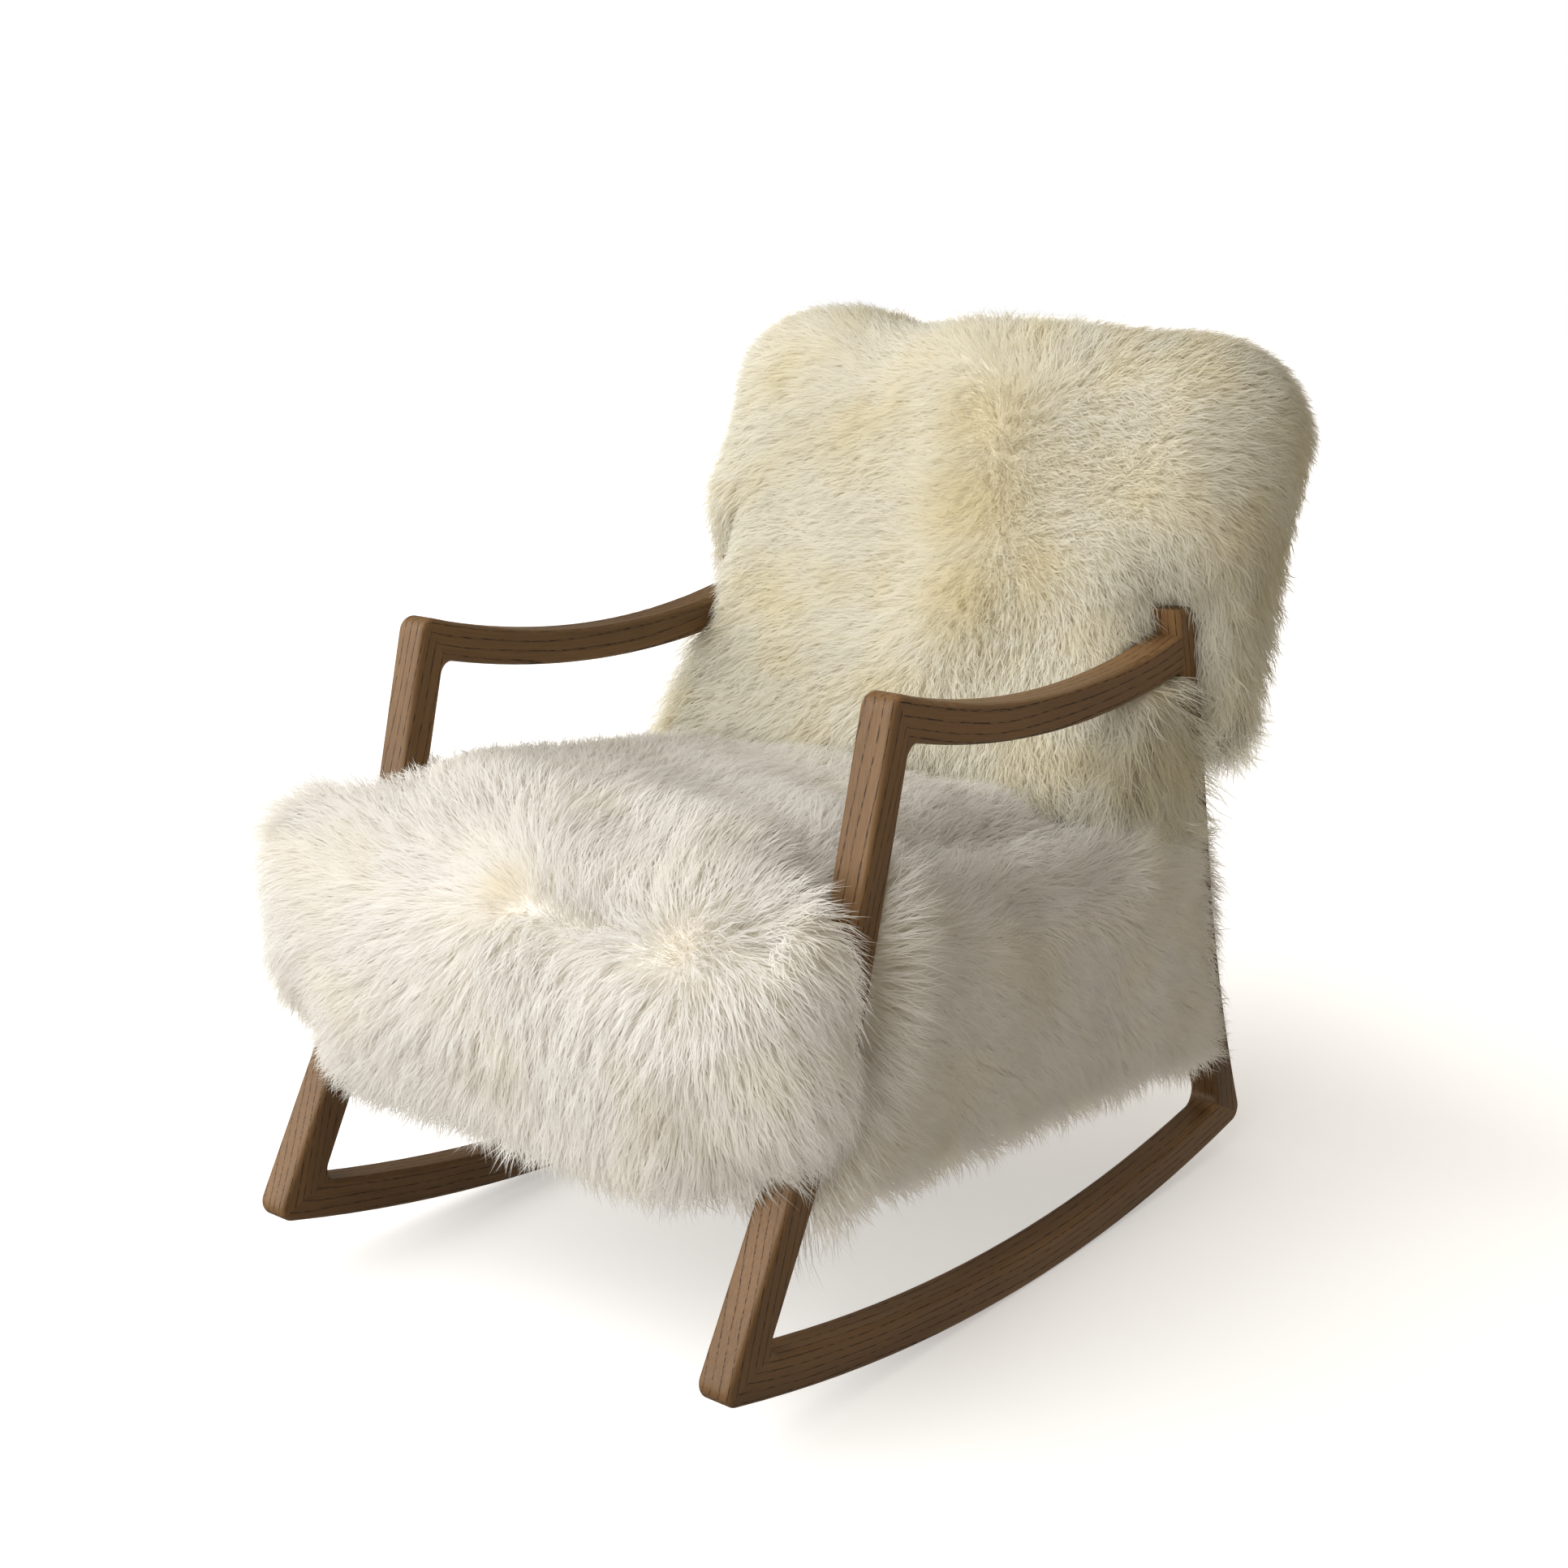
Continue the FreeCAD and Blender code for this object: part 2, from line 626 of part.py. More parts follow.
def back_frame():
    """Stiles, rails and webbing of the back."""
    pieces = {}
    stile = place_back(block(stile_inner_x, inner_x, stile_front, stile_end, -back_length, stile_top))
    below = place_seat(block(-big, big, -big, big, -big, seat_box_height))
    stile = drilled(
        stile.cut(below), bolt_diameter / 2 + bolt_clearance, stile_inner_x, inner_x, post_bolt_points
    )
    pieces["back_stile_left"] = stile
    pieces["back_stile_right"] = mirrored(stile)
    names = ("back_bottom_rail", "back_middle_rail", "back_top_rail")
    for name, z in zip(names, back_rail_positions):
        rail = block(
            -stile_inner_x, stile_inner_x, stile_front, stile_front + back_rail_depth, z, z + back_rail_height
        )
        pieces[name] = place_back(rail)
    first = back_rail_positions[0]
    pitch = (stile_top - first) / back_strap_count
    straps = []
    for index in range(back_strap_count):
        z = first + (index + 0.5) * pitch
        straps.append(block(
            -between_x, between_x, stile_front - strap_thickness, stile_front,
            z - strap_width / 2, z + strap_width / 2
        ))
    pieces["back_webbing"] = place_back(Part.makeCompound(straps))
    return pieces


def back_padding():
    """Foam and sheepskins of the back, which widens above the posts."""
    pieces = {}
    core_front = wool_depth + soft_gap
    core_end = back_thickness - wool_depth - soft_gap
    wing_floor = back_wing_z + wool_depth + soft_gap
    foam_end = stile_front - strap_thickness - soft_gap
    pad_start = stile_end + soft_gap

    def tee(y_from, y_to):
        """Pad that is narrow between the posts and wide above them."""
        wide = rounded_box(-core_x, core_x, y_from, y_to, wing_floor, core_top, pad_round)
        narrow = rounded_box(-between_x, between_x, y_from, y_to, back_lower_edge, core_top, pad_round)
        return wide.fuse(narrow).removeSplitter()

    pieces["back_foam"] = place_back(tee(core_front, foam_end))
    pieces["back_rear_padding"] = place_back(tee(pad_start, core_end))
    side_pad = place_back(rounded_box(
        inner_x + soft_gap, core_x, foam_end + soft_gap, pad_start - soft_gap, wing_floor, core_top, pad_round
    ))
    pieces["back_side_pad_left"] = side_pad
    pieces["back_side_pad_right"] = mirrored(side_pad)

    wide = rounded_box(
        -back_wool_x, back_wool_x, 0, back_thickness, back_wing_z, back_length, back_round
    )
    narrow = rounded_box(
        -between_x, between_x, 0, back_thickness, back_lower_edge, back_length, back_edge_round
    )
    wide_middle = (back_length + back_wing_z) / 2
    foot = narrow.cut(block(-big, big, -big, big, wide_middle, big))
    behind = rounded_box(
        -back_wool_x, back_wool_x, 0, back_thickness, post_wool_bottom, back_length, back_round
    )
    behind = behind.cut(block(-big, big, -big, big, wide_middle, big))
    low_y = post_rear_top.y - (big + post_rear_top.z) / post_rear_slope
    high_y = post_rear_top.y + (big - post_rear_top.z) / post_rear_slope
    post_side = [(-big, -big), (low_y, -big), (high_y, big), (-big, big)]
    behind = behind.cut(slab(post_side, -big, big))
    hide = wide.fuse(foot).fuse(behind)
    room = core_x + soft_gap
    hide = hide.cut(block(
        -room, room, wool_depth, back_thickness - wool_depth, wing_floor - soft_gap, core_top + soft_gap
    ))
    hide = hide.cut(block(
        -between_x - soft_gap, between_x + soft_gap, wool_depth, back_thickness - wool_depth, -big, wing_floor
    ))
    front = hide.common(block(-big, big, -big, stile_middle - soft_gap / 2, -big, big))
    rear = hide.common(block(-big, big, stile_middle + soft_gap / 2, big, -big, big))
    pieces["back_front_sheepskin"] = place_back(front.removeSplitter())
    pieces["back_rear_sheepskin"] = place_back(rear.removeSplitter())
    return pieces


def flank_sheepskins():
    """Sheepskin that shows inside the side frames: beside the seat and beside the foot of the back."""
    hollow = Part.Face(inner_outline()).extrude(Vector(stock_thickness, 0, 0))
    hollow = hollow.makeFillet(inner_corner_round, corner_edges(hollow, inner_corners))
    side = [face for face in hollow.Faces if face.BoundBox.XMax < soft_gap][0]
    opening = side.makeOffset2D(-flank_gap)
    wool = opening.extrude(Vector(stock_thickness + flank_reach - soft_gap, 0, 0))
    wool.translate(Vector(inner_x + soft_gap, 0, 0))
    seat_zone = place_seat(block(-big, big, -big, big, -skirt_drop, flank_top))
    seat_flank = wool.common(seat_zone)
    foot_zone = place_seat(block(-big, big, -big, big, flank_top + soft_gap, big))
    back_zone = place_back(block(-big, big, wool_depth / 2, big, -big, big))
    back_flank = wool.common(foot_zone).common(back_zone)
    pieces = {}
    face_x = outer_x + flank_reach
    for name, shape in (("seat_side_sheepskin", seat_flank), ("back_side_sheepskin", back_flank)):
        rim = [edge for edge in shape.Edges if edge.BoundBox.XMin > face_x - 0.01]
        shape = shape.makeFillet(flank_round, rim).Solids[0]
        pieces[name + "_left"] = shape
        pieces[name + "_right"] = mirrored(shape)
    return pieces


def fasteners():
    """Bolts, washers and threaded inserts that hold the seat box and the back to the side frames."""
    pieces = {}
    for name, face_x, spots in (
        ("seat", panel_inner_x, seat_bolt_points),
        ("back", stile_inner_x, post_bolt_points),
    ):
        sets = {
            "bolts": [bolt(face_x, spot) for spot in spots],
            "washers": [washer(face_x, spot) for spot in spots],
            "threaded_inserts": [threaded_insert(spot) for spot in spots],
        }
        for kind, shapes in sets.items():
            both = shapes + [mirrored(shape) for shape in shapes]
            pieces[name + "_" + kind] = Part.makeCompound(both)
    return pieces


def side_frames():
    """Members and dowels of both side frames."""
    pieces = {}
    for member, shape in frame_members().items():
        pieces[member + "_left"] = shape
        pieces[member + "_right"] = mirrored(shape)
    pins = []
    for name in joint_lines:
        pins += joint_dowels(name, dowel_diameter / 2, dowel_length)
    pieces["frame_dowels_left"] = Part.makeCompound(pins)
    pieces["frame_dowels_right"] = Part.makeCompound([mirrored(pin) for pin in pins])
    return pieces


def main():
    """Builds every piece, rolls the chair to its rest pose and writes one file per piece."""
    os.makedirs("parts", exist_ok=True)
    seat_groups = (seat_frame, seat_padding, flank_sheepskins)
    back_groups = (back_frame, back_padding)
    for group in (side_frames,) + seat_groups + back_groups + (fasteners,):
        for name, shape in group().items():
            shape.rotate(rocker_centre, Vector(1, 0, 0), -rest_lean)
            shape.exportStep("parts/" + name + ".step")
            print(name, len(shape.Solids), shape.isValid(), round(shape.Volume / 1000, 1))


main()
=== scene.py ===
"""Sheepskin rocking armchair: wool, hides, timber finishes and studio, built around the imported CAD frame."""

import json
import logging
import math
from dataclasses import dataclass, replace
from enum import Enum
from typing import Callable, Optional

import bmesh
import bpy
import numpy as np
from mathutils import Matrix, Vector
from mathutils.bvhtree import BVHTree
from mathutils.kdtree import KDTree


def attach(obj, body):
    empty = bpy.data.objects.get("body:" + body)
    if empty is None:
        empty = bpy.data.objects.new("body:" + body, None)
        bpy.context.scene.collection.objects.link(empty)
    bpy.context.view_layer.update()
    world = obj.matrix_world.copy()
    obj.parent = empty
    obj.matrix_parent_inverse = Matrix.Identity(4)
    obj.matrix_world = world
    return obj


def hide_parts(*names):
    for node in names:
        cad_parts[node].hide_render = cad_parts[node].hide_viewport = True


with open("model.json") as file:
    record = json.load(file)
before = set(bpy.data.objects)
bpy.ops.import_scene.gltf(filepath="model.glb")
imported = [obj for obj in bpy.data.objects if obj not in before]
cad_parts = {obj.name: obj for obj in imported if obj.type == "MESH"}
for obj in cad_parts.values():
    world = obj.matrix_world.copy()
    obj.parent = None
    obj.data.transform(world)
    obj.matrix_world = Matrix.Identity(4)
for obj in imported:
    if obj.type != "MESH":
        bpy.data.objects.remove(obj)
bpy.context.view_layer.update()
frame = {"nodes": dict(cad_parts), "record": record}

BODY = "root"
MM = 0.001
WHITE = "#FFFFFF"
TINY = 1e-9
MERGE = 0.01 * MM                  # corners nearer than this are one
WAVE_BAND = 0.314                  # metres between the bands of a wave texture at scale 1
LOG = logging.getLogger("rocking_armchair")

Field = Callable[[np.ndarray, np.ndarray], np.ndarray]


class Side(Enum):
    """The two sides of the chair, as the sitter names them."""

    LEFT = "left"
    RIGHT = "right"

    @property
    def sign(self) -> float:
        """Direction of this side along the chair's width."""
        return 1.0 if self is Side.LEFT else -1.0


class GrainRun(Enum):
    """How the grain of a timber member runs in the side frame's plane."""

    STRAIGHT = "straight"
    ARC = "arc"


def linear(colour: str) -> tuple[float, float, float, float]:
    """Turns an sRGB colour into the linear colour that Blender's sockets take.

    Args:
        colour: sRGB as "#RRGGBB".

    Returns:
        Linear red, green and blue, and an alpha of one.
    """
    parts = [int(colour[i:i + 2], 16) / 255 for i in (1, 3, 5)]
    return (*(c / 12.92 if c <= 0.04045 else ((c + 0.055) / 1.055) ** 2.4 for c in parts), 1.0)


def add_node(tree: bpy.types.NodeTree, kind: str, settings: Optional[dict] = None,
             links: Optional[dict] = None) -> bpy.types.Node:
    """Adds a shader node with its settings and incoming links.

    Args:
        tree: Node tree that takes the node.
        kind: Blender's identifier of the node type, without "ShaderNode".
        settings: Values by property name, or by the name or index of an input socket.
        links: Output sockets, or nodes for their first output, by the name or index of the input they feed.

    Returns:
        The new node.
    """
    node = tree.nodes.new("ShaderNode" + kind)
    for key, value in (settings or {}).items():
        if isinstance(key, str) and hasattr(node, key):
            setattr(node, key, value)
        else:
            node.inputs[key].default_value = value
    for key, source in (links or {}).items():
        socket = source.outputs[0] if isinstance(source, bpy.types.Node) else source
        tree.links.new(socket, node.inputs[key])
    return node


def new_piece(name: str, data: bpy.types.ID) -> bpy.types.Object:
    """Makes an object in the scene.

    Args:
        name: Name of the object.
        data: Its mesh, light or camera.

    Returns:
        The object.
    """
    piece = bpy.data.objects.new(name, data)
    bpy.context.scene.collection.objects.link(piece)
    return piece


def dress(piece: bpy.types.Object, material: bpy.types.Material) -> None:
    """Gives a piece one material in place of those that it has."""
    piece.data.materials.clear()
    piece.data.materials.append(material)


def read(items: bpy.types.bpy_prop_collection, key: str, kind: type = float) -> np.ndarray:
    """Reads a property of three values from all items of a mesh.

    Args:
        items: Points, normals or triangles.
        key: Name of the property.
        kind: Type of its values.

    Returns:
        One row for each item.
    """
    found = np.empty(len(items) * 3, dtype=kind)
    items.foreach_get(key, found)
    return found.reshape(-1, 3)


def move(piece: bpy.types.Object, places: np.ndarray) -> None:
    """Moves the points of a piece to new places."""
    piece.data.vertices.foreach_set("co", places.ravel())
    piece.data.update()


def unit(vectors: np.ndarray) -> np.ndarray:
    """Scales vectors to length one along the last axis."""
    return vectors / np.maximum(np.linalg.norm(vectors, axis=-1, keepdims=True), TINY)


def drift(points: np.ndarray, size: float, seed: int, waves: int = 9) -> np.ndarray:
    """Smooth random values over space, as a sum of slanted waves.

    Args:
        points: Places, one row each, in metres.
        size: Typical distance from crest to crest, in metres.
        seed: Seed of the waves.
        waves: How many waves are summed.

    Returns:
        One value for each place, mostly between -1 and 1.
    """
    rng = np.random.default_rng(seed)
    shortest, longest, crest = 0.6, 1.7, 4.0
    runs = unit(rng.normal(size=(waves, 3)))
    runs *= 2 * math.pi / (size * rng.uniform(shortest, longest, size=(waves, 1)))
    phases = rng.uniform(0, 2 * math.pi, size=waves)
    return np.sin(points @ runs.T + phases).sum(axis=1) / crest


@dataclass(frozen=True)
class Ramp:
    """A share that rises from 0 at its start to 1 at its end."""

    start: float
    end: float

    def at(self, values: np.ndarray) -> np.ndarray:
        """Gives the share at each value, as a column."""
        return np.clip((values - self.start) / (self.end - self.start), 0, 1)[:, None]


class Finish:
    """A material of the scene, named for what it is and how its surface was made."""

    def shade(self, tree: bpy.types.NodeTree) -> bpy.types.Node:
        """Adds the finish's nodes to a tree, and gives its shader."""
        raise NotImplementedError

    def material(self, name: str) -> bpy.types.Material:
        """Builds the material.

        Args:
            name: Name of the material.

        Returns:
            The material.
        """
        material = bpy.data.materials.new(name)
        material.use_nodes = True
        tree = material.node_tree
        tree.nodes.clear()
        add_node(tree, "OutputMaterial", None, {"Surface": self.shade(tree)})
        return material


@dataclass(frozen=True)
class Grain:
    """Grain of one member: a straight run at a lean, or an arc round a far centre."""

    run: GrainRun
    lean: float = 0.0              # degrees
    centre: tuple[float, float] = (0.0, 0.0)       # Y and Z of the arc's centre, in metres

    def coordinates(self, tree: bpy.types.NodeTree) -> bpy.types.Node:
        """Adds the nodes that give across, depth and along the grain.

        Args:
            tree: Node tree of the timber.

        Returns:
            Node of a vector: x across the chair, y across the member, z along its grain, in metres.
        """
        place = add_node(tree, "TexCoord").outputs["Object"]
        if self.run is GrainRun.STRAIGHT:
            return add_node(tree, "Mapping", {"Rotation": (math.radians(self.lean), 0, 0)}, {"Vector": place})
        moved = add_node(tree, "VectorMath", {"operation": "SUBTRACT", 1: (0, *self.centre)}, {0: place})
        split = add_node(tree, "SeparateXYZ", None, {0: moved})
        flat = add_node(tree, "VectorMath", {"operation": "MULTIPLY", 1: (0, 1, 1)}, {0: moved})
        radius = add_node(tree, "VectorMath", {"operation": "LENGTH"}, {0: flat}).outputs["Value"]
        down = add_node(tree, "Math", {"operation": "MULTIPLY", 1: -1.0}, {0: split.outputs["Z"]})
        angle = add_node(tree, "Math", {"operation": "ARCTAN2"}, {0: split.outputs["Y"], 1: down})
        along = add_node(tree, "Math", {"operation": "MULTIPLY"}, {0: angle, 1: radius})
        return add_node(tree, "CombineXYZ", None, {"X": split.outputs["X"], "Y": radius, "Z": along})


@dataclass(frozen=True)
class StainedAsh(Finish):
    """Ash, planed, stained brown and sealed with a thin satin oil.

    The stain sinks into the open pores of each year's early wood, so the eye sees rows of short dark
    dashes along the grain on warm brown, and a soft shine along the rounded edges.
    """

    grain: Grain
    shift: float                   # metres into the pattern, so that members differ
    shift_run: tuple = (1.0, 0.7, 2.3)
    light: str = "#82623F"
    dark: str = "#573F24"
    pore: str = "#170D06"
    ring_mm: float = 6.4
    ring_slant: tuple[float, float] = (0.74, 0.67)     # direction across the growth rings
    early: tuple[float, float] = (0.22, 0.03)          # shares of a ring between which its early wood fades
    bends: tuple = (14.0, 14.0, 2.4)                   # per metre: one in 71 mm across and 417 mm along
    bend_mm: float = 22.0
    fibres: tuple = (900.0, 900.0, 22.0)               # per metre: one in 1.1 mm across and 45 mm along
    fibre_share: float = 0.55
    tones: tuple[float, float] = (0.5, 1.05)
    band_share: float = 0.28       # how far the stain darkens early wood
    pore_length_mm: float = 11.0
    pore_width_mm: float = 0.8     # real pores are 0.3 mm wide; drawn wider so that they show
    pore_depth_mm: float = 0.3
    pore_blur: float = 0.4
    pore_cut: tuple[float, float] = (0.44, 0.54)
    pore_share: float = 0.95
    pore_rough: float = 0.18
    pore_bump: float = 0.5
    roughness: float = 0.46
    specular: float = 0.32
    ior: float = 1.5

    def shade(self, tree: bpy.types.NodeTree) -> bpy.types.Node:
        """Adds the nodes of the stain, its rings and its pores.

        Args:
            tree: Node tree of the material.

        Returns:
            The shader.
        """
        start = [run * self.shift for run in self.shift_run]
        along = self.grain.coordinates(tree)
        place = add_node(tree, "VectorMath", {"operation": "ADD", 1: start}, {0: along})
        slow = add_node(tree, "VectorMath", {"operation": "MULTIPLY", 1: self.bends}, {0: place})
        bend = add_node(tree, "TexNoise", {"Scale": 1.0, "Detail": 2.0}, {"Vector": slow})
        split = add_node(tree, "SeparateXYZ", None, {0: place})
        across = add_node(tree, "Math", {"operation": "MULTIPLY", 1: self.ring_slant[0]},
                          {0: split.outputs["X"]})
        slant = add_node(tree, "Math", {"operation": "MULTIPLY_ADD", 1: self.ring_slant[1]},
                         {0: split.outputs["Y"], 2: across})
        warped = add_node(tree, "Math", {"operation": "MULTIPLY_ADD", 1: self.bend_mm * MM},
                          {0: bend, 2: slant})
        rings = add_node(tree, "Math", {"operation": "MULTIPLY", 1: 1 / (self.ring_mm * MM)}, {0: warped})
        phase = add_node(tree, "Math", {"operation": "FRACT"}, {0: rings})
        early = add_node(tree, "MapRange", {"interpolation_type": "SMOOTHSTEP", "From Min": self.early[0],
                                            "From Max": self.early[1]}, {0: phase})
        wide, long = 1 / (self.pore_width_mm * MM), 1 / (self.pore_length_mm * MM)
        spread = add_node(tree, "VectorMath", {"operation": "MULTIPLY", 1: (wide, wide, long)}, {0: place})
        holes = add_node(tree, "TexNoise", {"Scale": 1.0, "Detail": 1.0, "Roughness": self.pore_blur},
                         {"Vector": spread})
        pores = add_node(tree, "MapRange", {"From Min": self.pore_cut[0], "From Max": self.pore_cut[1]},
                         {0: holes})
        dashes = add_node(tree, "Math", {"operation": "MULTIPLY"}, {0: pores, 1: early})
        fine = add_node(tree, "VectorMath", {"operation": "MULTIPLY", 1: self.fibres}, {0: place})
        fibre = add_node(tree, "TexNoise", {"Scale": 1.0, "Detail": 3.0}, {"Vector": fine})
        cloud = add_node(tree, "Math", {"operation": "MULTIPLY_ADD", 1: self.fibre_share},
                         {0: fibre, 2: bend})
        tone = add_node(tree, "MapRange", {"From Min": self.tones[0], "From Max": self.tones[1]}, {0: cloud})
        wood = add_node(tree, "Mix", {"data_type": "RGBA", 6: linear(self.light), 7: linear(self.dark)},
                        {0: tone})
        band = add_node(tree, "Math", {"operation": "MULTIPLY", 1: self.band_share}, {0: early})
        ringed = add_node(tree, "Mix", {"data_type": "RGBA", 7: linear(self.dark)},
                          {0: band, 6: wood.outputs[2]})
        stain = add_node(tree, "Math", {"operation": "MULTIPLY", 1: self.pore_share}, {0: dashes})
        colour = add_node(tree, "Mix", {"data_type": "RGBA", 7: linear(self.pore)},
                          {0: stain, 6: ringed.outputs[2]})
        rough = add_node(tree, "MapRange", {"To Min": self.roughness,
                                            "To Max": self.roughness + self.pore_rough}, {0: dashes})
        rise = add_node(tree, "Math", {"operation": "SUBTRACT", 0: 1.0}, {1: dashes})
        bump = add_node(tree, "Bump", {"Strength": self.pore_bump, "Distance": self.pore_depth_mm * MM},
                        {"Height": rise})
        return add_node(tree, "BsdfPrincipled", {"IOR": self.ior, "Specular IOR Level": self.specular},
                        {"Base Color": colour.outputs[2], "Roughness": rough, "Normal": bump})


@dataclass(frozen=True)
class PaleTimber(Finish):
    """Bare beech, birch plywood or pine, sawn and sanded: pale and dull, with faint straight streaks."""

    light: str = "#D9BD92"
    dark: str = "#B98F5E"
    streak_mm: float = 3.0
    streaks_along: float = 12.0    # per metre
    bump: float = 0.3
    depth_mm: float = 0.2
    roughness: float = 0.7

    def shade(self, tree: bpy.types.NodeTree) -> bpy.types.Node:
        """Adds the nodes of the streaks.

        Args:
            tree: Node tree of the material.

        Returns:
            The shader.
        """
        place = add_node(tree, "TexCoord").outputs["Object"]
        fine = 1 / (self.streak_mm * MM)
        spread = add_node(tree, "VectorMath", {"operation": "MULTIPLY", 1: (self.streaks_along, fine, fine)},
                          {0: place})
        streak = add_node(tree, "TexNoise", {"Scale": 1.0, "Detail": 3.0}, {"Vector": spread})
        colour = add_node(tree, "Mix", {"data_type": "RGBA", 6: linear(self.light), 7: linear(self.dark)},
                          {0: streak})
        bump = add_node(tree, "Bump", {"Strength": self.bump, "Distance": self.depth_mm * MM},
                        {"Height": streak})
        return add_node(tree, "BsdfPrincipled", {"Roughness": self.roughness},
                        {"Base Color": colour.outputs[2], "Normal": bump})


@dataclass(frozen=True)
class WovenCloth(Finish):
    """Plain woven or bonded cloth: threads that cross make a small grid of light and dark."""

    thread: str
    shadow: str
    thread_mm: float
    waver: float = 0.6
    bump: float = 0.5
    depth_mm: float = 0.4
    sheen: float = 0.2
    roughness: float = 0.9

    def shade(self, tree: bpy.types.NodeTree) -> bpy.types.Node:
        """Adds the nodes of the weave.

        Args:
            tree: Node tree of the material.

        Returns:
            The shader.
        """
        place = add_node(tree, "TexCoord").outputs["Object"]
        scale = WAVE_BAND / (2 * self.thread_mm * MM)
        waves = [add_node(tree, "TexWave", {"bands_direction": way, "Scale": scale, "Distortion": self.waver},
                          {"Vector": place}).outputs["Fac"] for way in ("X", "Y")]
        weave = add_node(tree, "Math", {"operation": "MULTIPLY"}, {0: waves[0], 1: waves[1]})
        colour = add_node(tree, "Mix", {"data_type": "RGBA", 6: linear(self.shadow), 7: linear(self.thread)},
                          {0: weave})
        bump = add_node(tree, "Bump", {"Strength": self.bump, "Distance": self.depth_mm * MM},
                        {"Height": weave})
        return add_node(tree, "BsdfPrincipled", {"Roughness": self.roughness, "Sheen Weight": self.sheen},
                        {"Base Color": colour.outputs[2], "Normal": bump})


@dataclass(frozen=True)
class TurnedMetal(Finish):
    """Turned and plated metal of bolts and inserts: bright, with fine tool marks."""

    tint: str
    roughness: float
    marks: float = 900.0           # per metre: one tool mark in 1.1 mm, drawn coarser than real ones
    smoother: float = 0.08
    rougher: float = 0.12

    def shade(self, tree: bpy.types.NodeTree) -> bpy.types.Node:
        """Adds the nodes of the tool marks.

        Args:
            tree: Node tree of the material.

        Returns:
            The shader.
        """
        place = add_node(tree, "TexCoord").outputs["Object"]
        marks = add_node(tree, "TexNoise", {"Scale": self.marks, "Detail": 2.0}, {"Vector": place})
        rough = add_node(tree, "MapRange", {"To Min": self.roughness - self.smoother,
                                            "To Max": self.roughness + self.rougher}, {0: marks})
        return add_node(tree, "BsdfPrincipled", {"Base Color": linear(self.tint), "Metallic": 1.0},
                        {"Roughness": rough})


@dataclass(frozen=True)
class SheepWool(Finish):
    """Long sheepskin wool, washed and combed, undyed, or the felted underwool below it.

    Fine crimped fibres scatter light through each lock, so the wool looks soft and bright. Each lock is
    creamier towards its root, between the locks, than at its tip: partly the roots' own yellower colour,
    partly painted shade deep in the fleece. There are warmer patches where the fleece has yellowed.
    """

    tip: str
    root: str
    yellowed: str
    stains: tuple[tuple, ...]      # x, y, z and radius of yellowed places, in metres
    is_lock: bool = True           # locks carry the map "strand"; the underwool doesn't
    patch_mm: float = 95.0
    patch_cut: tuple[float, float] = (0.45, 0.75)
    patch_share: float = 0.35
    root_tint_and_shade_run: tuple[float, float] = (0.05, 0.6)              # where along a lock its root colour, partly painted shade, ends
    darkest: float = 0.95
    curls: float = 260.0           # of the underwool, per metre: one in 4 mm
    roughness: float = 0.85
    specular: float = 0.25
    sheen: float = 0.15
    sheen_roughness: float = 0.5
    through: float = 0.52          # share of the light that passes through a lock

    def shade(self, tree: bpy.types.NodeTree) -> bpy.types.Node:
        """Adds the nodes of the wool.

        Args:
            tree: Node tree of the material.

        Returns:
            The shader.
        """
        place = add_node(tree, "TexCoord").outputs["Object"]
        patch = add_node(tree, "TexNoise", {"Scale": 1 / (self.patch_mm * MM), "Detail": 3.0},
                         {"Vector": place})
        yellow = add_node(tree, "MapRange", {"From Min": self.patch_cut[0], "From Max": self.patch_cut[1],
                                             "To Max": self.patch_share}, {0: patch})
        for *middle, radius in self.stains:
            far = add_node(tree, "VectorMath", {"operation": "DISTANCE", 1: middle}, {0: place})
            near = add_node(tree, "MapRange", {"interpolation_type": "SMOOTHSTEP", "From Max": radius,
                                               "To Min": 1.0, "To Max": 0.0}, {0: far.outputs["Value"]})
            yellow = add_node(tree, "Math", {"operation": "MAXIMUM"}, {0: yellow, 1: near})
        tip = add_node(tree, "Mix", {"data_type": "RGBA", 6: linear(self.tip), 7: linear(self.yellowed)},
                       {0: yellow}).outputs[2]
        if self.is_lock:
            strand = add_node(tree, "UVMap", {"uv_map": "strand"})
            split = add_node(tree, "SeparateXYZ", None, {0: strand})
            share = add_node(tree, "MapRange", {"From Min": self.root_tint_and_shade_run[0], "From Max": self.root_tint_and_shade_run[1]},
                             {0: split.outputs["Y"]})
            tone = add_node(tree, "MapRange", {"To Min": self.darkest, "To Max": 1.0},
                            {0: split.outputs["X"]})
        else:
            share = add_node(tree, "TexNoise", {"Scale": self.curls, "Detail": 4.0}, {"Vector": place})
        # root colour: partly the wool's own creamier tint, partly painted shade deep in the fleece
        colour = add_node(tree, "Mix", {"data_type": "RGBA", 6: linear(self.root)},
                          {0: share, 7: tip}).outputs[2]
        if self.is_lock:
            colour = add_node(tree, "VectorMath", {"operation": "SCALE"}, {0: colour, "Scale": tone})
        shader = add_node(tree, "BsdfPrincipled",
                          {"Roughness": self.roughness, "Specular IOR Level": self.specular,
                           "Sheen Weight": self.sheen, "Sheen Roughness": self.sheen_roughness},
                          {"Base Color": colour})
        if not self.is_lock:
            return shader
        glow = add_node(tree, "BsdfTranslucent", None, {"Color": colour})
        return add_node(tree, "MixShader", {0: self.through}, {1: shader, 2: glow})


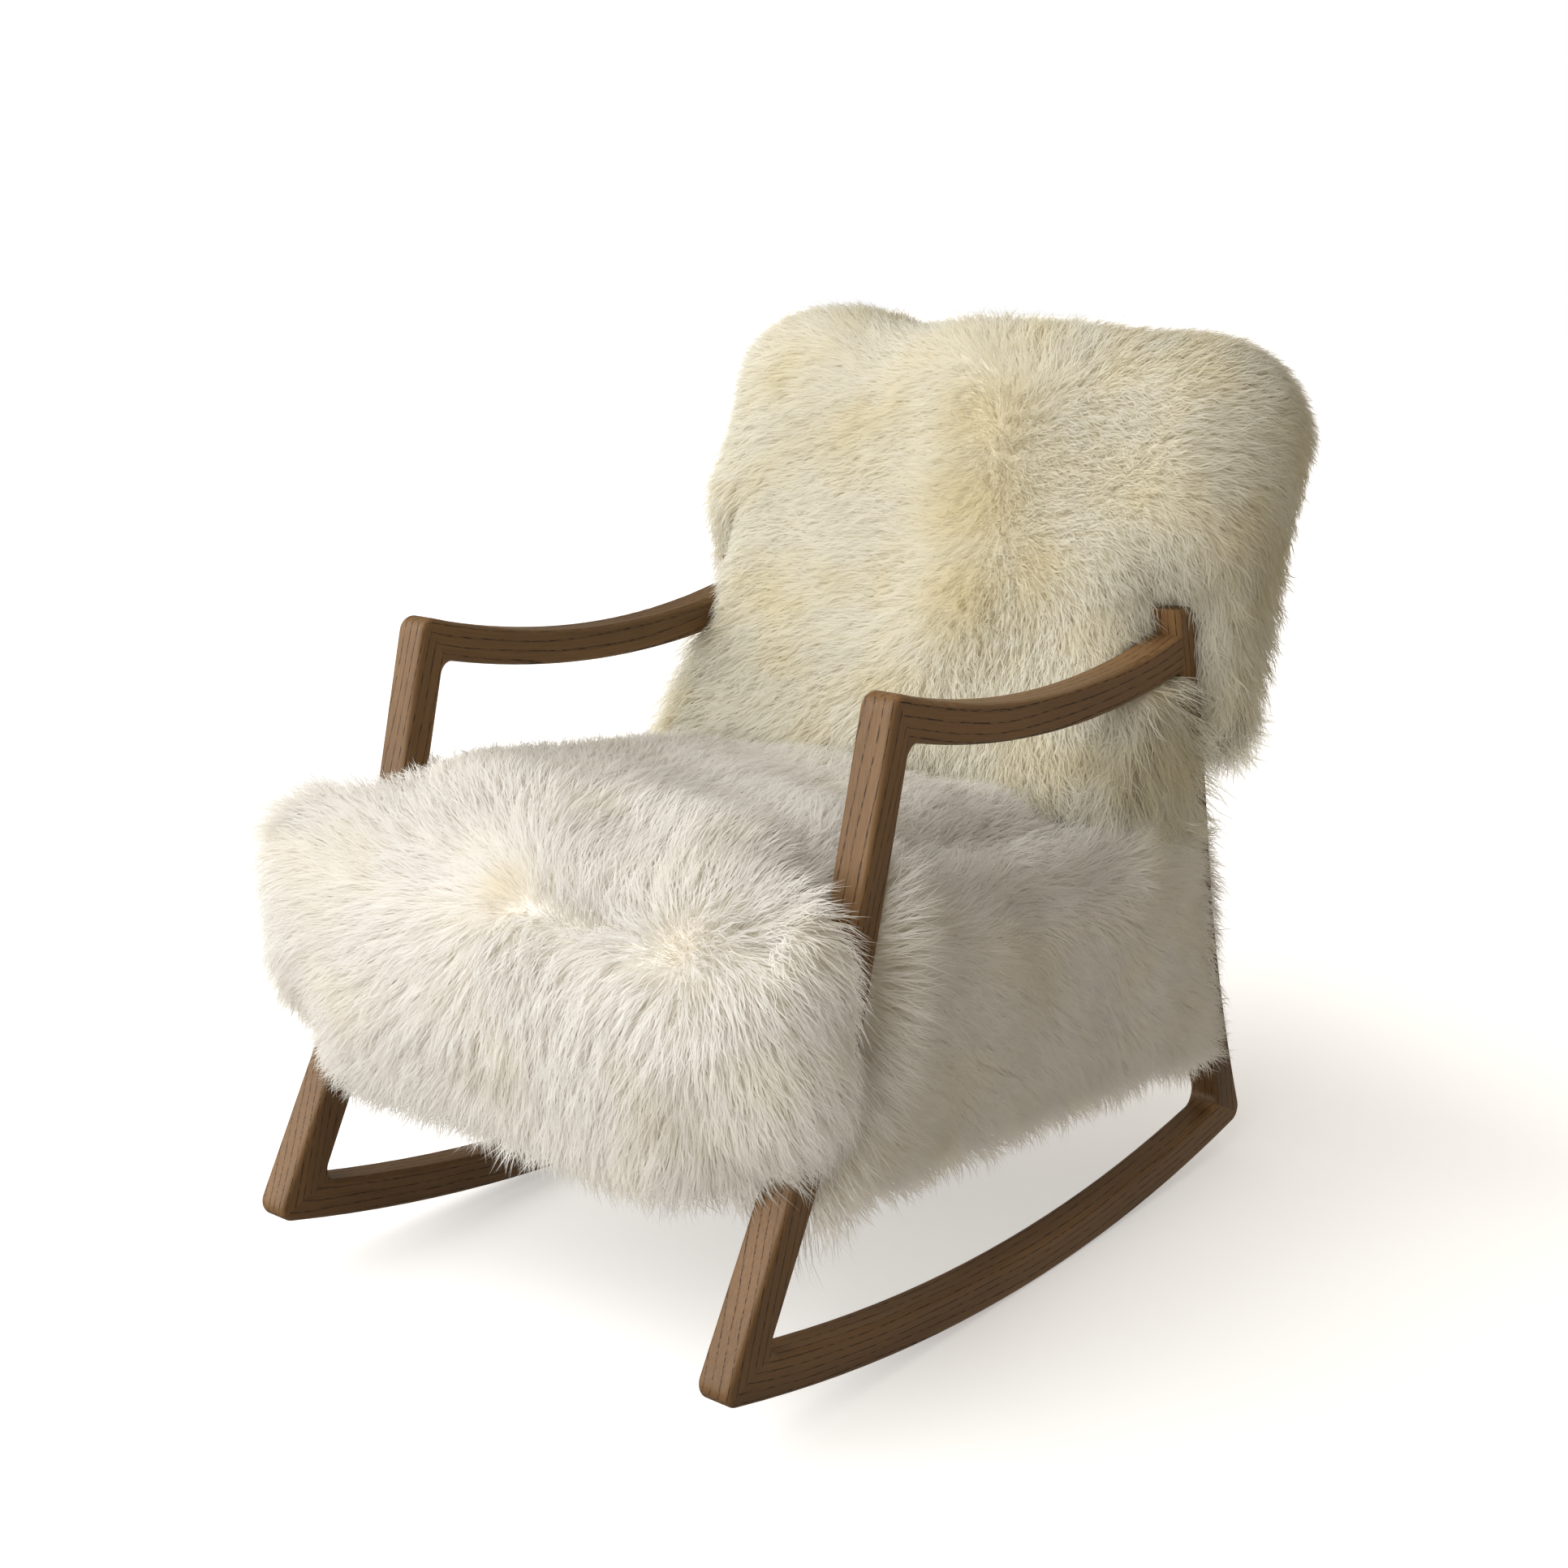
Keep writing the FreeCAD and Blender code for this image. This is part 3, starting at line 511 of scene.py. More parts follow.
@dataclass(frozen=True)
class OpalAcrylic(Finish):
    """Cast opal acrylic, matt and lit from below: an even white that a shadow only tints."""

    tint: str
    glow: float
    roughness: tuple[float, float] = (0.75, 0.9)
    clouds: float = 6.0            # per metre: one in 170 mm
    specular: float = 0.1

    def shade(self, tree: bpy.types.NodeTree) -> bpy.types.Node:
        """Adds the nodes of the sheet.

        Args:
            tree: Node tree of the material.

        Returns:
            The shader.
        """
        cloud = add_node(tree, "TexNoise", {"Scale": self.clouds, "Detail": 2.0})
        rough = add_node(tree, "MapRange", {"To Min": self.roughness[0], "To Max": self.roughness[1]},
                         {0: cloud})
        return add_node(tree, "BsdfPrincipled",
                        {"Base Color": linear(self.tint), "Specular IOR Level": self.specular,
                         "Emission Color": linear(WHITE), "Emission Strength": self.glow},
                        {"Roughness": rough})


@dataclass(frozen=True)
class Growth:
    """How the wool of one skin grows and lies, in metres and shares."""

    length: float
    width: float
    spacing: float                 # mean distance between locks
    tuft: float                    # mean distance between tufts
    root_lift: float               # 1 stands up from the hide, 0 lies along it
    tip_lift: float
    sag: float                     # pull of its own weight
    gather: float                  # how far tips draw to the middle of their tuft
    wave: float                    # sideways waves, as a share of the length
    turns: float                   # waves along a lock
    wander: float                  # how far tufts turn from the combed direction, in radians
    swirl: float                   # how far whole patches turn, in radians
    swirl_size: float
    seed: int
    fuzz: float = 1.2              # how much wilder the turns get at a parting
    whorl_lift: float = 0.4        # how much steeper the tips stand there
    least_lift: float = 0.15
    lean: float = 1.05             # root lift and lean add up to this
    tuft_lengths: tuple[float, float] = (0.90, 1.08)
    tuft_lift: float = 0.07
    lock_lengths: tuple[float, float] = (0.55, 1.06)
    lock_turn: float = 0.26
    lock_lift: float = 0.10
    lock_phase: float = 0.5
    pulls: tuple[float, float] = (0.55, 1.0)
    tip_pull: float = 0.5          # gather at the tip, against 1 halfway
    wave_rise: float = 0.6         # height of the waves, against 1 sideways
    tuft_tone: float = 0.6         # share of a lock's tone that its tuft gives
    roll: float = 0.7              # how far ribbons turn round their run, in radians
    widths: tuple[float, float] = (0.7, 1.25)
    smooth: float = 0.8            # share of the hide's normal in that of a ribbon
    timber_reach: float = 40 * MM  # wool this near the timber is left longer, and hangs over it
    timber_extra: float = 0.45
    trim: float = 0.92             # a lock that meets timber is cut to this share of its free run
    shortest: float = 0.3          # and left out if less than this share of it is free
    room: float = 0.346            # half the width within which the wool spreads freely
    give: float = 18 * MM          # and how far it can spread beyond


@dataclass
class Locks:
    """Centre lines of grown locks: points by lock and step, with the hide's normal and a tone for each."""

    points: np.ndarray
    normals: np.ndarray
    sides: np.ndarray
    tones: np.ndarray

    def some(self, chosen: np.ndarray) -> "Locks":
        """Gives the chosen locks only."""
        return Locks(self.points[chosen], self.normals[chosen], self.sides[chosen], self.tones[chosen])


STEPS = np.array([0.0, 0.30, 0.64, 1.0])
HALF_WIDTHS = np.array([0.40, 0.5, 0.38, 0.0])
CORNERS = np.array([0, 1, 3, 2, 2, 3, 5, 4, 4, 5, 6])    # two quads and the tip's triangle
FACE_STARTS = np.array([0, 4, 8])
LOCK_VERTS = 7
MOST_LOCKS = 39000                 # a piece stays under 200,000 triangles
CELL_SIDES = (0.15, 0.85)          # where a ribbon lies in its cell of the bake
CELL_FOOT = 0.1
CELL_RUN = 0.8


class TimberGuard:
    """Stops wool where it would run into the side frames."""

    def __init__(self, nodes: list[str], margin: float = 2 * MM) -> None:
        """Collects the timber's faces.

        Args:
            nodes: CAD nodes of the timber.
            margin: How far short of the timber's inner faces the test of locks begins.
        """
        corners: list = []
        faces: list = []
        for node in nodes:
            mesh = frame["nodes"][node].data
            start = len(corners)
            corners.extend(v.co.copy() for v in mesh.vertices)
            faces.extend([start + i for i in p.vertices] for p in mesh.polygons)
        self.tree = BVHTree.FromPolygons(corners, faces)
        self.inner = min(abs(c.x) for c in corners) - margin

    def distance(self, points: np.ndarray) -> np.ndarray:
        """Gives the distance from each place to the nearest timber."""
        return np.array([self.tree.find_nearest(p)[3] for p in points])

    def free_share(self, points: np.ndarray) -> np.ndarray:
        """Measures how much of each lock is clear of timber.

        Args:
            points: Centre lines by lock and step.

        Returns:
            Share of each lock, from its root, that is clear.
        """
        share = np.ones(len(points))
        reach = np.abs(points[:, :, 0]).max(axis=1)
        for i in np.flatnonzero(reach > self.inner):
            for first in range(len(STEPS) - 1):
                start = Vector(points[i, first])
                run = Vector(points[i, first + 1]) - start
                hit = self.tree.ray_cast(start, run.normalized(), run.length)
                if hit[0] is not None:
                    share[i] = STEPS[first] + hit[3] / run.length * (STEPS[first + 1] - STEPS[first])
                    break
        return share


@dataclass
class Fleece:
    """Wool grown on a hide as tapered ribbons that gather in tufts."""

    hide: bpy.types.Object         # mesh that carries the wool
    growth: Growth
    flow: Field                    # combed direction by place and normal
    cover: Field                   # share of the wool that grows there
    reach: Field                   # factor on its length there
    guard: TimberGuard             # timber that the wool goes round

    def __post_init__(self) -> None:
        """Seeds the wool's random draws."""
        self.rng = np.random.default_rng(self.growth.seed)

    def roots(self) -> tuple[np.ndarray, np.ndarray, float]:
        """Scatters roots over the hide.

        Returns:
            Places and normals of the roots, and the covered area.
        """
        mesh = self.hide.data
        mesh.calc_loop_triangles()
        places = read(mesh.vertices, "co")
        normals = read(mesh.vertex_normals, "vector")
        corners = read(mesh.loop_triangles, "vertices", np.int64)
        a, b, c = (places[corners[:, i]] for i in range(3))
        area = np.linalg.norm(np.cross(b - a, c - a), axis=1) / 2
        area = area * np.clip(self.cover((a + b + c) / 3, unit(normals[corners].mean(axis=1))), 0, 1)
        total = area.sum()
        count = int(total / self.growth.spacing ** 2)
        picks = (np.arange(count) + self.rng.random(count)) / count * total
        chosen = np.minimum(np.searchsorted(np.cumsum(area), picks), len(area) - 1)
        s = np.sqrt(self.rng.random(count))[:, None]
        t = self.rng.random(count)[:, None]
        weights = np.stack([1 - s, s * (1 - t), s * t], axis=1)
        spots = (places[corners[chosen]] * weights).sum(axis=1)
        return spots, unit((normals[corners[chosen]] * weights).sum(axis=1)), total

    def lines(self, roots: np.ndarray, normals: np.ndarray, turn: np.ndarray, length: np.ndarray,
              lift: np.ndarray) -> tuple[np.ndarray, np.ndarray]:
        """Bends each lock from its root along the combed direction.

        Args:
            roots: Places of the roots.
            normals: Normals of the hide there.
            turn: Angle of each lock from the combed direction.
            length: Length of each lock.
            lift: Added to the lift at the root.

        Returns:
            Points by lock and step, and the sideways direction of each lock.
        """
        growth = self.growth
        combed = self.flow(roots, normals)
        force = np.clip(np.linalg.norm(combed, axis=1, keepdims=True), 0, 1)
        combed = unit(combed - normals * (combed * normals).sum(axis=1, keepdims=True))
        turn = turn * (1 + growth.fuzz * (1 - force[:, 0]))
        combed = combed * np.cos(turn)[:, None] + np.cross(normals, combed) * np.sin(turn)[:, None]
        rise = np.clip(growth.root_lift + lift, growth.least_lift, 1.0)[:, None]
        start = unit(normals * rise + combed * force * (growth.lean - rise))
        steep = growth.tip_lift + growth.whorl_lift * (1 - force)
        end = unit(normals * steep + combed * force + np.array([0, 0, -growth.sag]))
        s = STEPS[None, :, None]
        bent = start[:, None, :] * s + (end - start)[:, None, :] * s ** 2 / 2
        return roots[:, None, :] + bent * length[:, None, None], np.cross(normals, combed)

    def grow(self) -> Locks:
        """Grows all the locks of the hide.

        Returns:
            The locks that are clear of the timber.
        """
        growth, rng = self.growth, self.rng
        roots, normals, area = self.roots()
        count = len(roots)
        middles = rng.choice(count, size=max(1, int(area / growth.tuft ** 2)), replace=False)
        tufts = len(middles)
        tree = KDTree(tufts)
        for i, spot in enumerate(roots[middles]):
            tree.insert(spot, i)
        tree.balance()
        tuft = np.fromiter((tree.find(spot)[1] for spot in roots), dtype=np.int64, count=count)

        tuft_turn = growth.wander * rng.normal(size=tufts)
        tuft_turn = tuft_turn + growth.swirl * drift(roots[middles], growth.swirl_size, growth.seed + 1)
        tuft_length = rng.uniform(*growth.tuft_lengths, size=tufts)
        tuft_lift = rng.normal(scale=growth.tuft_lift, size=tufts)
        tuft_phase = rng.uniform(0, 2 * math.pi, size=tufts)
        tuft_tone = rng.uniform(0.0, 1.0, size=tufts)

        beside = np.clip(1 - self.guard.distance(roots) / growth.timber_reach, 0, 1)
        grown = growth.length * np.maximum(self.reach(roots, normals), 1 + growth.timber_extra * beside)
        heart, _ = self.lines(roots[middles], normals[middles], tuft_turn, grown[middles] * tuft_length,
                              tuft_lift)
        turn = tuft_turn[tuft] + rng.normal(scale=growth.lock_turn, size=count)
        length = grown * tuft_length[tuft] * rng.uniform(*growth.lock_lengths, size=count)
        lift = tuft_lift[tuft] + rng.normal(scale=growth.lock_lift, size=count)
        points, sides = self.lines(roots, normals, turn, length, lift)

        s = STEPS[None, :, None]
        pull = growth.gather * rng.uniform(*growth.pulls, size=count)[:, None, None]
        points = points + pull * (4 * s * (1 - s) + growth.tip_pull * s) * (heart[tuft] - points)
        phase = tuft_phase[tuft] + rng.normal(scale=growth.lock_phase, size=count)
        angle = 2 * math.pi * growth.turns * s + phase[:, None, None]
        swing = np.cos(angle) * sides[:, None, :] + growth.wave_rise * np.sin(angle) * normals[:, None, :]
        points = points + growth.wave * length[:, None, None] * s * swing

        over = np.maximum(np.abs(points[..., 0]) - growth.room, 0)
        points[..., 0] -= np.sign(points[..., 0]) * (over - growth.give * (1 - np.exp(-over / growth.give)))
        free = self.guard.free_share(points)
        kept_run = np.where(free < 1, growth.trim * free, 1.0)[:, None, None]
        points = points[:, :1] + (points - points[:, :1]) * kept_run
        tones = growth.tuft_tone * tuft_tone[tuft] + (1 - growth.tuft_tone) * rng.random(count)
        return Locks(points, normals, sides, tones).some(free > growth.shortest)

    def piece(self, name: str, locks: Locks, material: bpy.types.Material, slot: str) -> None:
        """Makes the mesh of some locks.

        Args:
            name: Name of the piece.
            locks: Its locks.
            material: Finish of the wool.
            slot: The record's material slot; not used.
        """
        growth, count = self.growth, len(locks.points)
        roll = self.rng.uniform(-growth.roll, growth.roll, size=count)
        facing = locks.normals * np.cos(roll)[:, None] + locks.sides * np.sin(roll)[:, None]
        run = unit(np.gradient(locks.points, axis=1))
        across = unit(np.cross(run, facing[:, None, :]))
        width = growth.width * self.rng.uniform(*growth.widths, size=count)
        half = across * HALF_WIDTHS[None, :, None] * width[:, None, None]
        flat = np.cross(across, run)
        outward = unit(growth.smooth * locks.normals[:, None, :] + (1 - growth.smooth) * flat)
        verts, shading = np.empty((count, LOCK_VERTS, 3)), np.empty((count, LOCK_VERTS, 3))
        edges = ((verts, locks.points - half, locks.points + half), (shading, outward, outward))
        for target, left, right in edges:
            target[:, 0:6:2] = left[:, :3]
            target[:, 1:6:2] = right[:, :3]
            target[:, 6] = left[:, 3]

        mesh = bpy.data.meshes.new(name)
        mesh.vertices.add(count * LOCK_VERTS)
        mesh.vertices.foreach_set("co", verts.ravel())
        numbers = np.arange(count)[:, None]
        loops = (CORNERS[None, :] + LOCK_VERTS * numbers).ravel()
        mesh.loops.add(len(loops))
        mesh.loops.foreach_set("vertex_index", loops)
        mesh.polygons.add(count * len(FACE_STARTS))
        mesh.polygons.foreach_set("loop_start", (FACE_STARTS[None, :] + len(CORNERS) * numbers).ravel())
        self.maps(mesh, locks, loops)
        mesh.update(calc_edges=True)
        mesh.polygons.foreach_set("use_smooth", np.ones(len(mesh.polygons), dtype=bool))
        mesh.normals_split_custom_set_from_vertices(shading.reshape(-1, 3))
        piece = new_piece(name, mesh)
        dress(piece, material)
        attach(piece, BODY)
        LOG.info("%s: %d locks", name, count)

    @staticmethod
    def maps(mesh: bpy.types.Mesh, locks: Locks, loops: np.ndarray) -> None:
        """Gives each lock a cell of its own to bake in, and its tone and run from root to tip.

        Args:
            mesh: Mesh of the locks.
            locks: The locks.
            loops: Vertex of each face corner.
        """
        count = len(locks.points)
        edge = math.ceil(math.sqrt(count))
        cells = np.stack([np.arange(count) % edge, np.arange(count) // edge], axis=1)
        left = np.array([*CELL_SIDES * 3, sum(CELL_SIDES) / 2])
        along = np.concatenate([np.repeat(STEPS[:3], 2), STEPS[3:]])
        inside = np.stack([left, CELL_FOOT + CELL_RUN * along], axis=1)
        bake = ((cells[:, None, :] + inside[None, :, :]) / edge).reshape(-1, 2)
        strand = np.empty((count, LOCK_VERTS, 2))
        strand[:, :, 0] = locks.tones[:, None]
        strand[:, :, 1] = along[None, :]
        for name, values in (("OFBake", bake), ("strand", strand.reshape(-1, 2))):
            layer = mesh.uv_layers.new(name=name)
            layer.uv.foreach_set("vector", values[loops].astype(np.float32).ravel())

    def cut(self, name: str, material: bpy.types.Material, slot: str) -> None:
        """Grows the wool and parts it into pieces from the sitter's right to the left.

        Args:
            name: Name of the pieces, before their number.
            material: Finish of the wool.
            slot: The record's material slot.
        """
        locks = self.grow()
        order = np.argsort(locks.points[:, 0, 0], kind="stable")
        for number, part in enumerate(np.array_split(order, math.ceil(len(order) / MOST_LOCKS)), start=1):
            self.piece(f"{name}_{number}", locks.some(part), material, slot)


@dataclass
class Hide:
    """Tanned skin with felted underwool over a padded body, as one swelled form."""

    name: str
    sources: tuple[str, ...]       # CAD nodes whose solids give the form
    replaced: tuple[str, ...]      # CAD nodes that it stands for
    hulled: tuple[str, ...]        # CAD nodes whose hull fills a hollow between the solids
    covered: tuple[str, ...]       # CAD nodes of hidden wood that it wraps closely
    inset: float                   # hide below the outside of the solids
    wrap: float = 3 * MM           # hide around the hidden wood
    voxel: float = 8 * MM
    start_depth: float = 0.5 * MM  # where the measure of the thickness starts
    thinnest: float = 0.3          # the most that the inset takes from the thickness at a point, as a share
    timber_gap: float = 4 * MM
    timber_fade: float = 22 * MM
    smoothing: int = 10
    evening: int = 5               # last smoothing, which takes out the folds of the swelling
    smooth_share: float = 0.5
    pressure: float = 4.0
    mass: float = 0.4              # kilograms for each point of the cloth
    quality: int = 5
    frames: int = 20
    cap: float = 8 * MM            # the most that a point may swell
    fill: float = 0.7

    def form(self, guard: TimberGuard) -> bpy.types.Object:
        """Joins the solids into one smooth closed mesh, inset from their outside.

        Args:
            guard: Timber, beside which the hide stays where the solids are.

        Returns:
            The unswelled piece.
        """
        body = self.joined(self.hulled)
        hull = bmesh.ops.convex_hull(body, input=body.verts)
        bmesh.ops.delete(body, geom=hull["geom_interior"] + hull["geom_unused"], context="VERTS")
        for node in self.sources:
            body.from_mesh(frame["nodes"][node].data)
        bmesh.ops.remove_doubles(body, verts=body.verts, dist=MERGE)
        piece = new_piece(self.name, bpy.data.meshes.new(self.name))
        body.to_mesh(piece.data)
        body.free()
        self.remesh(piece)
        at, out = read(piece.data.vertices, "co"), read(piece.data.vertex_normals, "vector")
        inside = BVHTree.FromPolygons(at.tolist(), [list(p.vertices) for p in piece.data.polygons])
        rays = zip(map(Vector, at), map(Vector, out))
        room = [inside.ray_cast(p - self.start_depth * n, -n)[3] or 0.0 for p, n in rays]
        sink = np.minimum(self.inset * self.freedom(at, guard), self.thinnest * np.array(room))
        move(piece, at - sink[:, None] * out)
        self.smooth(piece, self.smoothing)
        self.apply(piece)
        body = self.joined(self.covered)
        bmesh.ops.remove_doubles(body, verts=body.verts, dist=MERGE)
        body.normal_update()
        for vert in body.verts:
            vert.co += self.wrap * vert.normal
        body.from_mesh(piece.data)
        body.to_mesh(piece.data)
        body.free()
        self.remesh(piece)
        return piece

    @staticmethod
    def joined(nodes: tuple[str, ...]) -> bmesh.types.BMesh:
        """Puts the meshes of some CAD nodes into one.

        Args:
            nodes: Names of the nodes.

        Returns:
            A new mesh, to be freed.
        """
        body = bmesh.new()
        for node in nodes:
            body.from_mesh(frame["nodes"][node].data)
        return body

    def remesh(self, piece: bpy.types.Object) -> None:
        """Joins all that overlaps into one surface, and drops the surfaces of hollows inside it.

        Args:
            piece: Piece to remesh.
        """
        join = piece.modifiers.new("join", "REMESH")
        join.mode = "VOXEL"
        join.voxel_size = self.voxel
        self.apply(piece)
        body = bmesh.new()
        body.from_mesh(piece.data)
        left = set(body.verts)
        shells = []
        while left:
            front = [left.pop()]
            shell = list(front)
            while front:
                vert = front.pop()
                beside = [e.other_vert(vert) for e in vert.link_edges if e.other_vert(vert) in left]
                left.difference_update(beside)
                front.extend(beside)
                shell.extend(beside)
            shells.append(shell)
        shells.sort(key=len)
        bmesh.ops.delete(body, geom=[v for shell in shells[:-1] for v in shell], context="VERTS")
        body.to_mesh(piece.data)
        body.free()

    def smooth(self, piece: bpy.types.Object, times: int) -> None:
        """Adds a smoothing to a piece, to be applied.

        Args:
            piece: Piece to smooth.
            times: How often each point moves towards its neighbours.
        """
        settle = piece.modifiers.new("settle", "SMOOTH")
        settle.factor = self.smooth_share
        settle.iterations = times

    def freedom(self, points: np.ndarray, guard: TimberGuard) -> np.ndarray:
        """Gives 0 beside the timber, rising to 1 away from it."""
        return np.clip((guard.distance(points) - self.timber_gap) / self.timber_fade, 0, 1)

    @staticmethod
    def apply(piece: bpy.types.Object) -> None:
        """Replaces a piece's mesh by what its modifiers make of it.

        Args:
            piece: Piece with modifiers, which it loses.
        """
        bpy.context.view_layer.update()
        made = piece.evaluated_get(bpy.context.evaluated_depsgraph_get())
        mesh = bpy.data.meshes.new_from_object(made)
        piece.modifiers.clear()
        piece.data = mesh

    def swell(self, piece: bpy.types.Object, guard: TimberGuard) -> None:
        """Swells the piece with cloth pressure, within a cap and away from the timber.

        Args:
            piece: Closed piece.
            guard: Timber of the side frames.
        """
        start = read(piece.data.vertices, "co")
        cloth = piece.modifiers.new("swell", "CLOTH")
        cloth.settings.quality = self.quality
        cloth.settings.mass = self.mass
        cloth.settings.use_pressure = True
        cloth.settings.uniform_pressure_force = self.pressure
        cloth.settings.effector_weights.gravity = 0.0
        cloth.collision_settings.use_collision = False
        scene = bpy.context.scene
        for number in range(1, self.frames + 1):
            scene.frame_set(number)
        made = piece.evaluated_get(bpy.context.evaluated_depsgraph_get())
        swelled = read(made.data.vertices, "co") - start
        piece.modifiers.clear()
        scene.frame_set(1)
        far = np.linalg.norm(swelled, axis=1, keepdims=True)
        swelled *= np.minimum(1.0, self.cap / np.maximum(far, TINY))
        move(piece, start + swelled * self.freedom(start, guard)[:, None])

    def finish(self, piece: bpy.types.Object, material: bpy.types.Material, slot: str) -> None:
        """Args:
            piece: Swelled piece.
            material: Its finish.
            slot: The record's material slot; not used.
        """
        self.smooth(piece, self.evening)
        piece.modifiers.new("skin", "SUBSURF").levels = 1
        self.apply(piece)
        piece.data.polygons.foreach_set("use_smooth", np.ones(len(piece.data.polygons), dtype=bool))
        dress(piece, material)
        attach(piece, BODY)
        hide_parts(*self.replaced)
        LOG.info("%s stands for %s", self.name, ", ".join(self.replaced))


@dataclass(frozen=True)
class Parting:
    """Line from which the wool is combed outwards, strayed a little so that it isn't straight."""

    start: tuple[float, float, float]
    end: tuple[float, float, float]
    whorl: float                   # distance over which the wool lies down, in metres
    stray: float = 0.3             # how far the line strays, as a share of that
    stray_seeds: tuple[int, int, int] = (1, 2, 3)

    def flow(self, points: np.ndarray) -> np.ndarray:
        """Combs outwards.

        Args:
            points: Places on the hide.

        Returns:
            Directions from the line, shorter than one within the whorl.
        """
        first, whorl = np.array(self.start), self.whorl
        along = np.array(self.end) - first
        strays = [self.stray * whorl * drift(points, 2 * whorl, seed) for seed in self.stray_seeds]
        strayed = points + np.stack(strays, axis=1)
        share = np.clip(((strayed - first) @ along) / (along @ along), 0, 1)[:, None]
        away = strayed - (first + share * along)
        return away / np.maximum(np.linalg.norm(away, axis=1, keepdims=True), whorl)


@dataclass
class SideFrames:
    """The two stained ash side frames, whose CAD solids stay as they are."""

    rocker_centre: tuple[float, float] = (0.0, 2.069)
    arm_centre: tuple[float, float] = (-0.068, 1.595)
    front_leg_lean: float = 16.0
    rear_leg_lean: float = -16.4
    member_shift: float = 0.31     # metres between the patterns of two members
    side_shift: float = 0.13
    dowels: PaleTimber = PaleTimber(light="#D8B48A", dark="#B98C5C")

    def members(self) -> list[str]:
        """Names the timber nodes of both sides."""
        return [f"{part}_{side.value}" for part in self.grains() for side in Side]

    def grains(self) -> dict[str, Grain]:
        """Gives the grain of each member.

        Returns:
            Grain by the member's name without its side.
        """
        return {
            "front_leg": Grain(GrainRun.STRAIGHT, lean=self.front_leg_lean),
            "armrest": Grain(GrainRun.ARC, centre=self.arm_centre),
            "rear_leg": Grain(GrainRun.STRAIGHT, lean=self.rear_leg_lean),
            "rocker": Grain(GrainRun.ARC, centre=self.rocker_centre),
        }

    def dress(self) -> None:
        """Stains every member, and leaves the dowels bare."""
        for number, (part, grain) in enumerate(self.grains().items()):
            for side in Side:
                shift = self.member_shift * number + self.side_shift * side.sign
                node = f"{part}_{side.value}"
                dress(frame["nodes"][node], StainedAsh(grain, shift).material(f"stained_ash_{node}"))
                LOG.info("%s stained", node)
        bare = self.dowels.material("turned_beech")
        for side in Side:
            dress(frame["nodes"][f"frame_dowels_{side.value}"], bare)


@dataclass
class HiddenWorks:
    """Box, webbing, cover and fasteners inside the upholstery."""

    box: PaleTimber = PaleTimber()
    webbing: WovenCloth = WovenCloth("#6B5C48", "#2E261D", thread_mm=1.6)
    cover: WovenCloth = WovenCloth("#2A2A2A", "#0E0E0E", thread_mm=1.2)
    steel: TurnedMetal = TurnedMetal("#B9BABA", roughness=0.38)
    brass: TurnedMetal = TurnedMetal("#C9A25A", roughness=0.34)

    def dress(self) -> None:
        """Gives each hidden node the finish of its material."""
        finishes = {
            "seat_frame_wood": self.box.material("birch_plywood_and_pine"),
            "webbing": self.webbing.material("woven_elastic_webbing"),
            "dust_cover_cloth": self.cover.material("bonded_dust_cloth"),
            "zinc_steel": self.steel.material("zinc_plated_steel"),
            "brass_insert": self.brass.material("turned_brass"),
        }
        for part in frame["record"]["subparts"]:
            if part["material_slot"] in finishes:
                dress(frame["nodes"][part["node"]], finishes[part["material_slot"]])
        LOG.info("hidden works dressed")


class Skins:
    """What the sheepskins of the seat and of the back share: a swelled hide and the wool on it."""

    slot: str
    felt_name: str
    wool_name: str
    wool: SheepWool
    growth: Growth
    lump: float
    lump_size: float

    def ripple(self, piece: bpy.types.Object) -> None:
        """Gives the padding soft lumps.

        Args:
            piece: Piece to move.
        """
        at = read(piece.data.vertices, "co")
        lumps = self.lump * drift(at, self.lump_size, self.growth.seed + 1)
        move(piece, at + lumps[:, None] * read(piece.data.vertex_normals, "vector"))

    def build(self, guard: TimberGuard) -> None:
        """Makes the hide and its wool.

        Args:
            guard: Timber that the wool goes round.
        """
        skin = self.hide()
        piece = skin.form(guard)
        self.shape(piece)
        skin.swell(piece, guard)
        skin.finish(piece, replace(self.wool, is_lock=False).material(self.felt_name), self.slot)
        fleece = Fleece(piece, self.growth, self.flow, self.cover, self.reach, guard)
        fleece.cut(self.slot, self.wool.material(self.wool_name), self.slot)


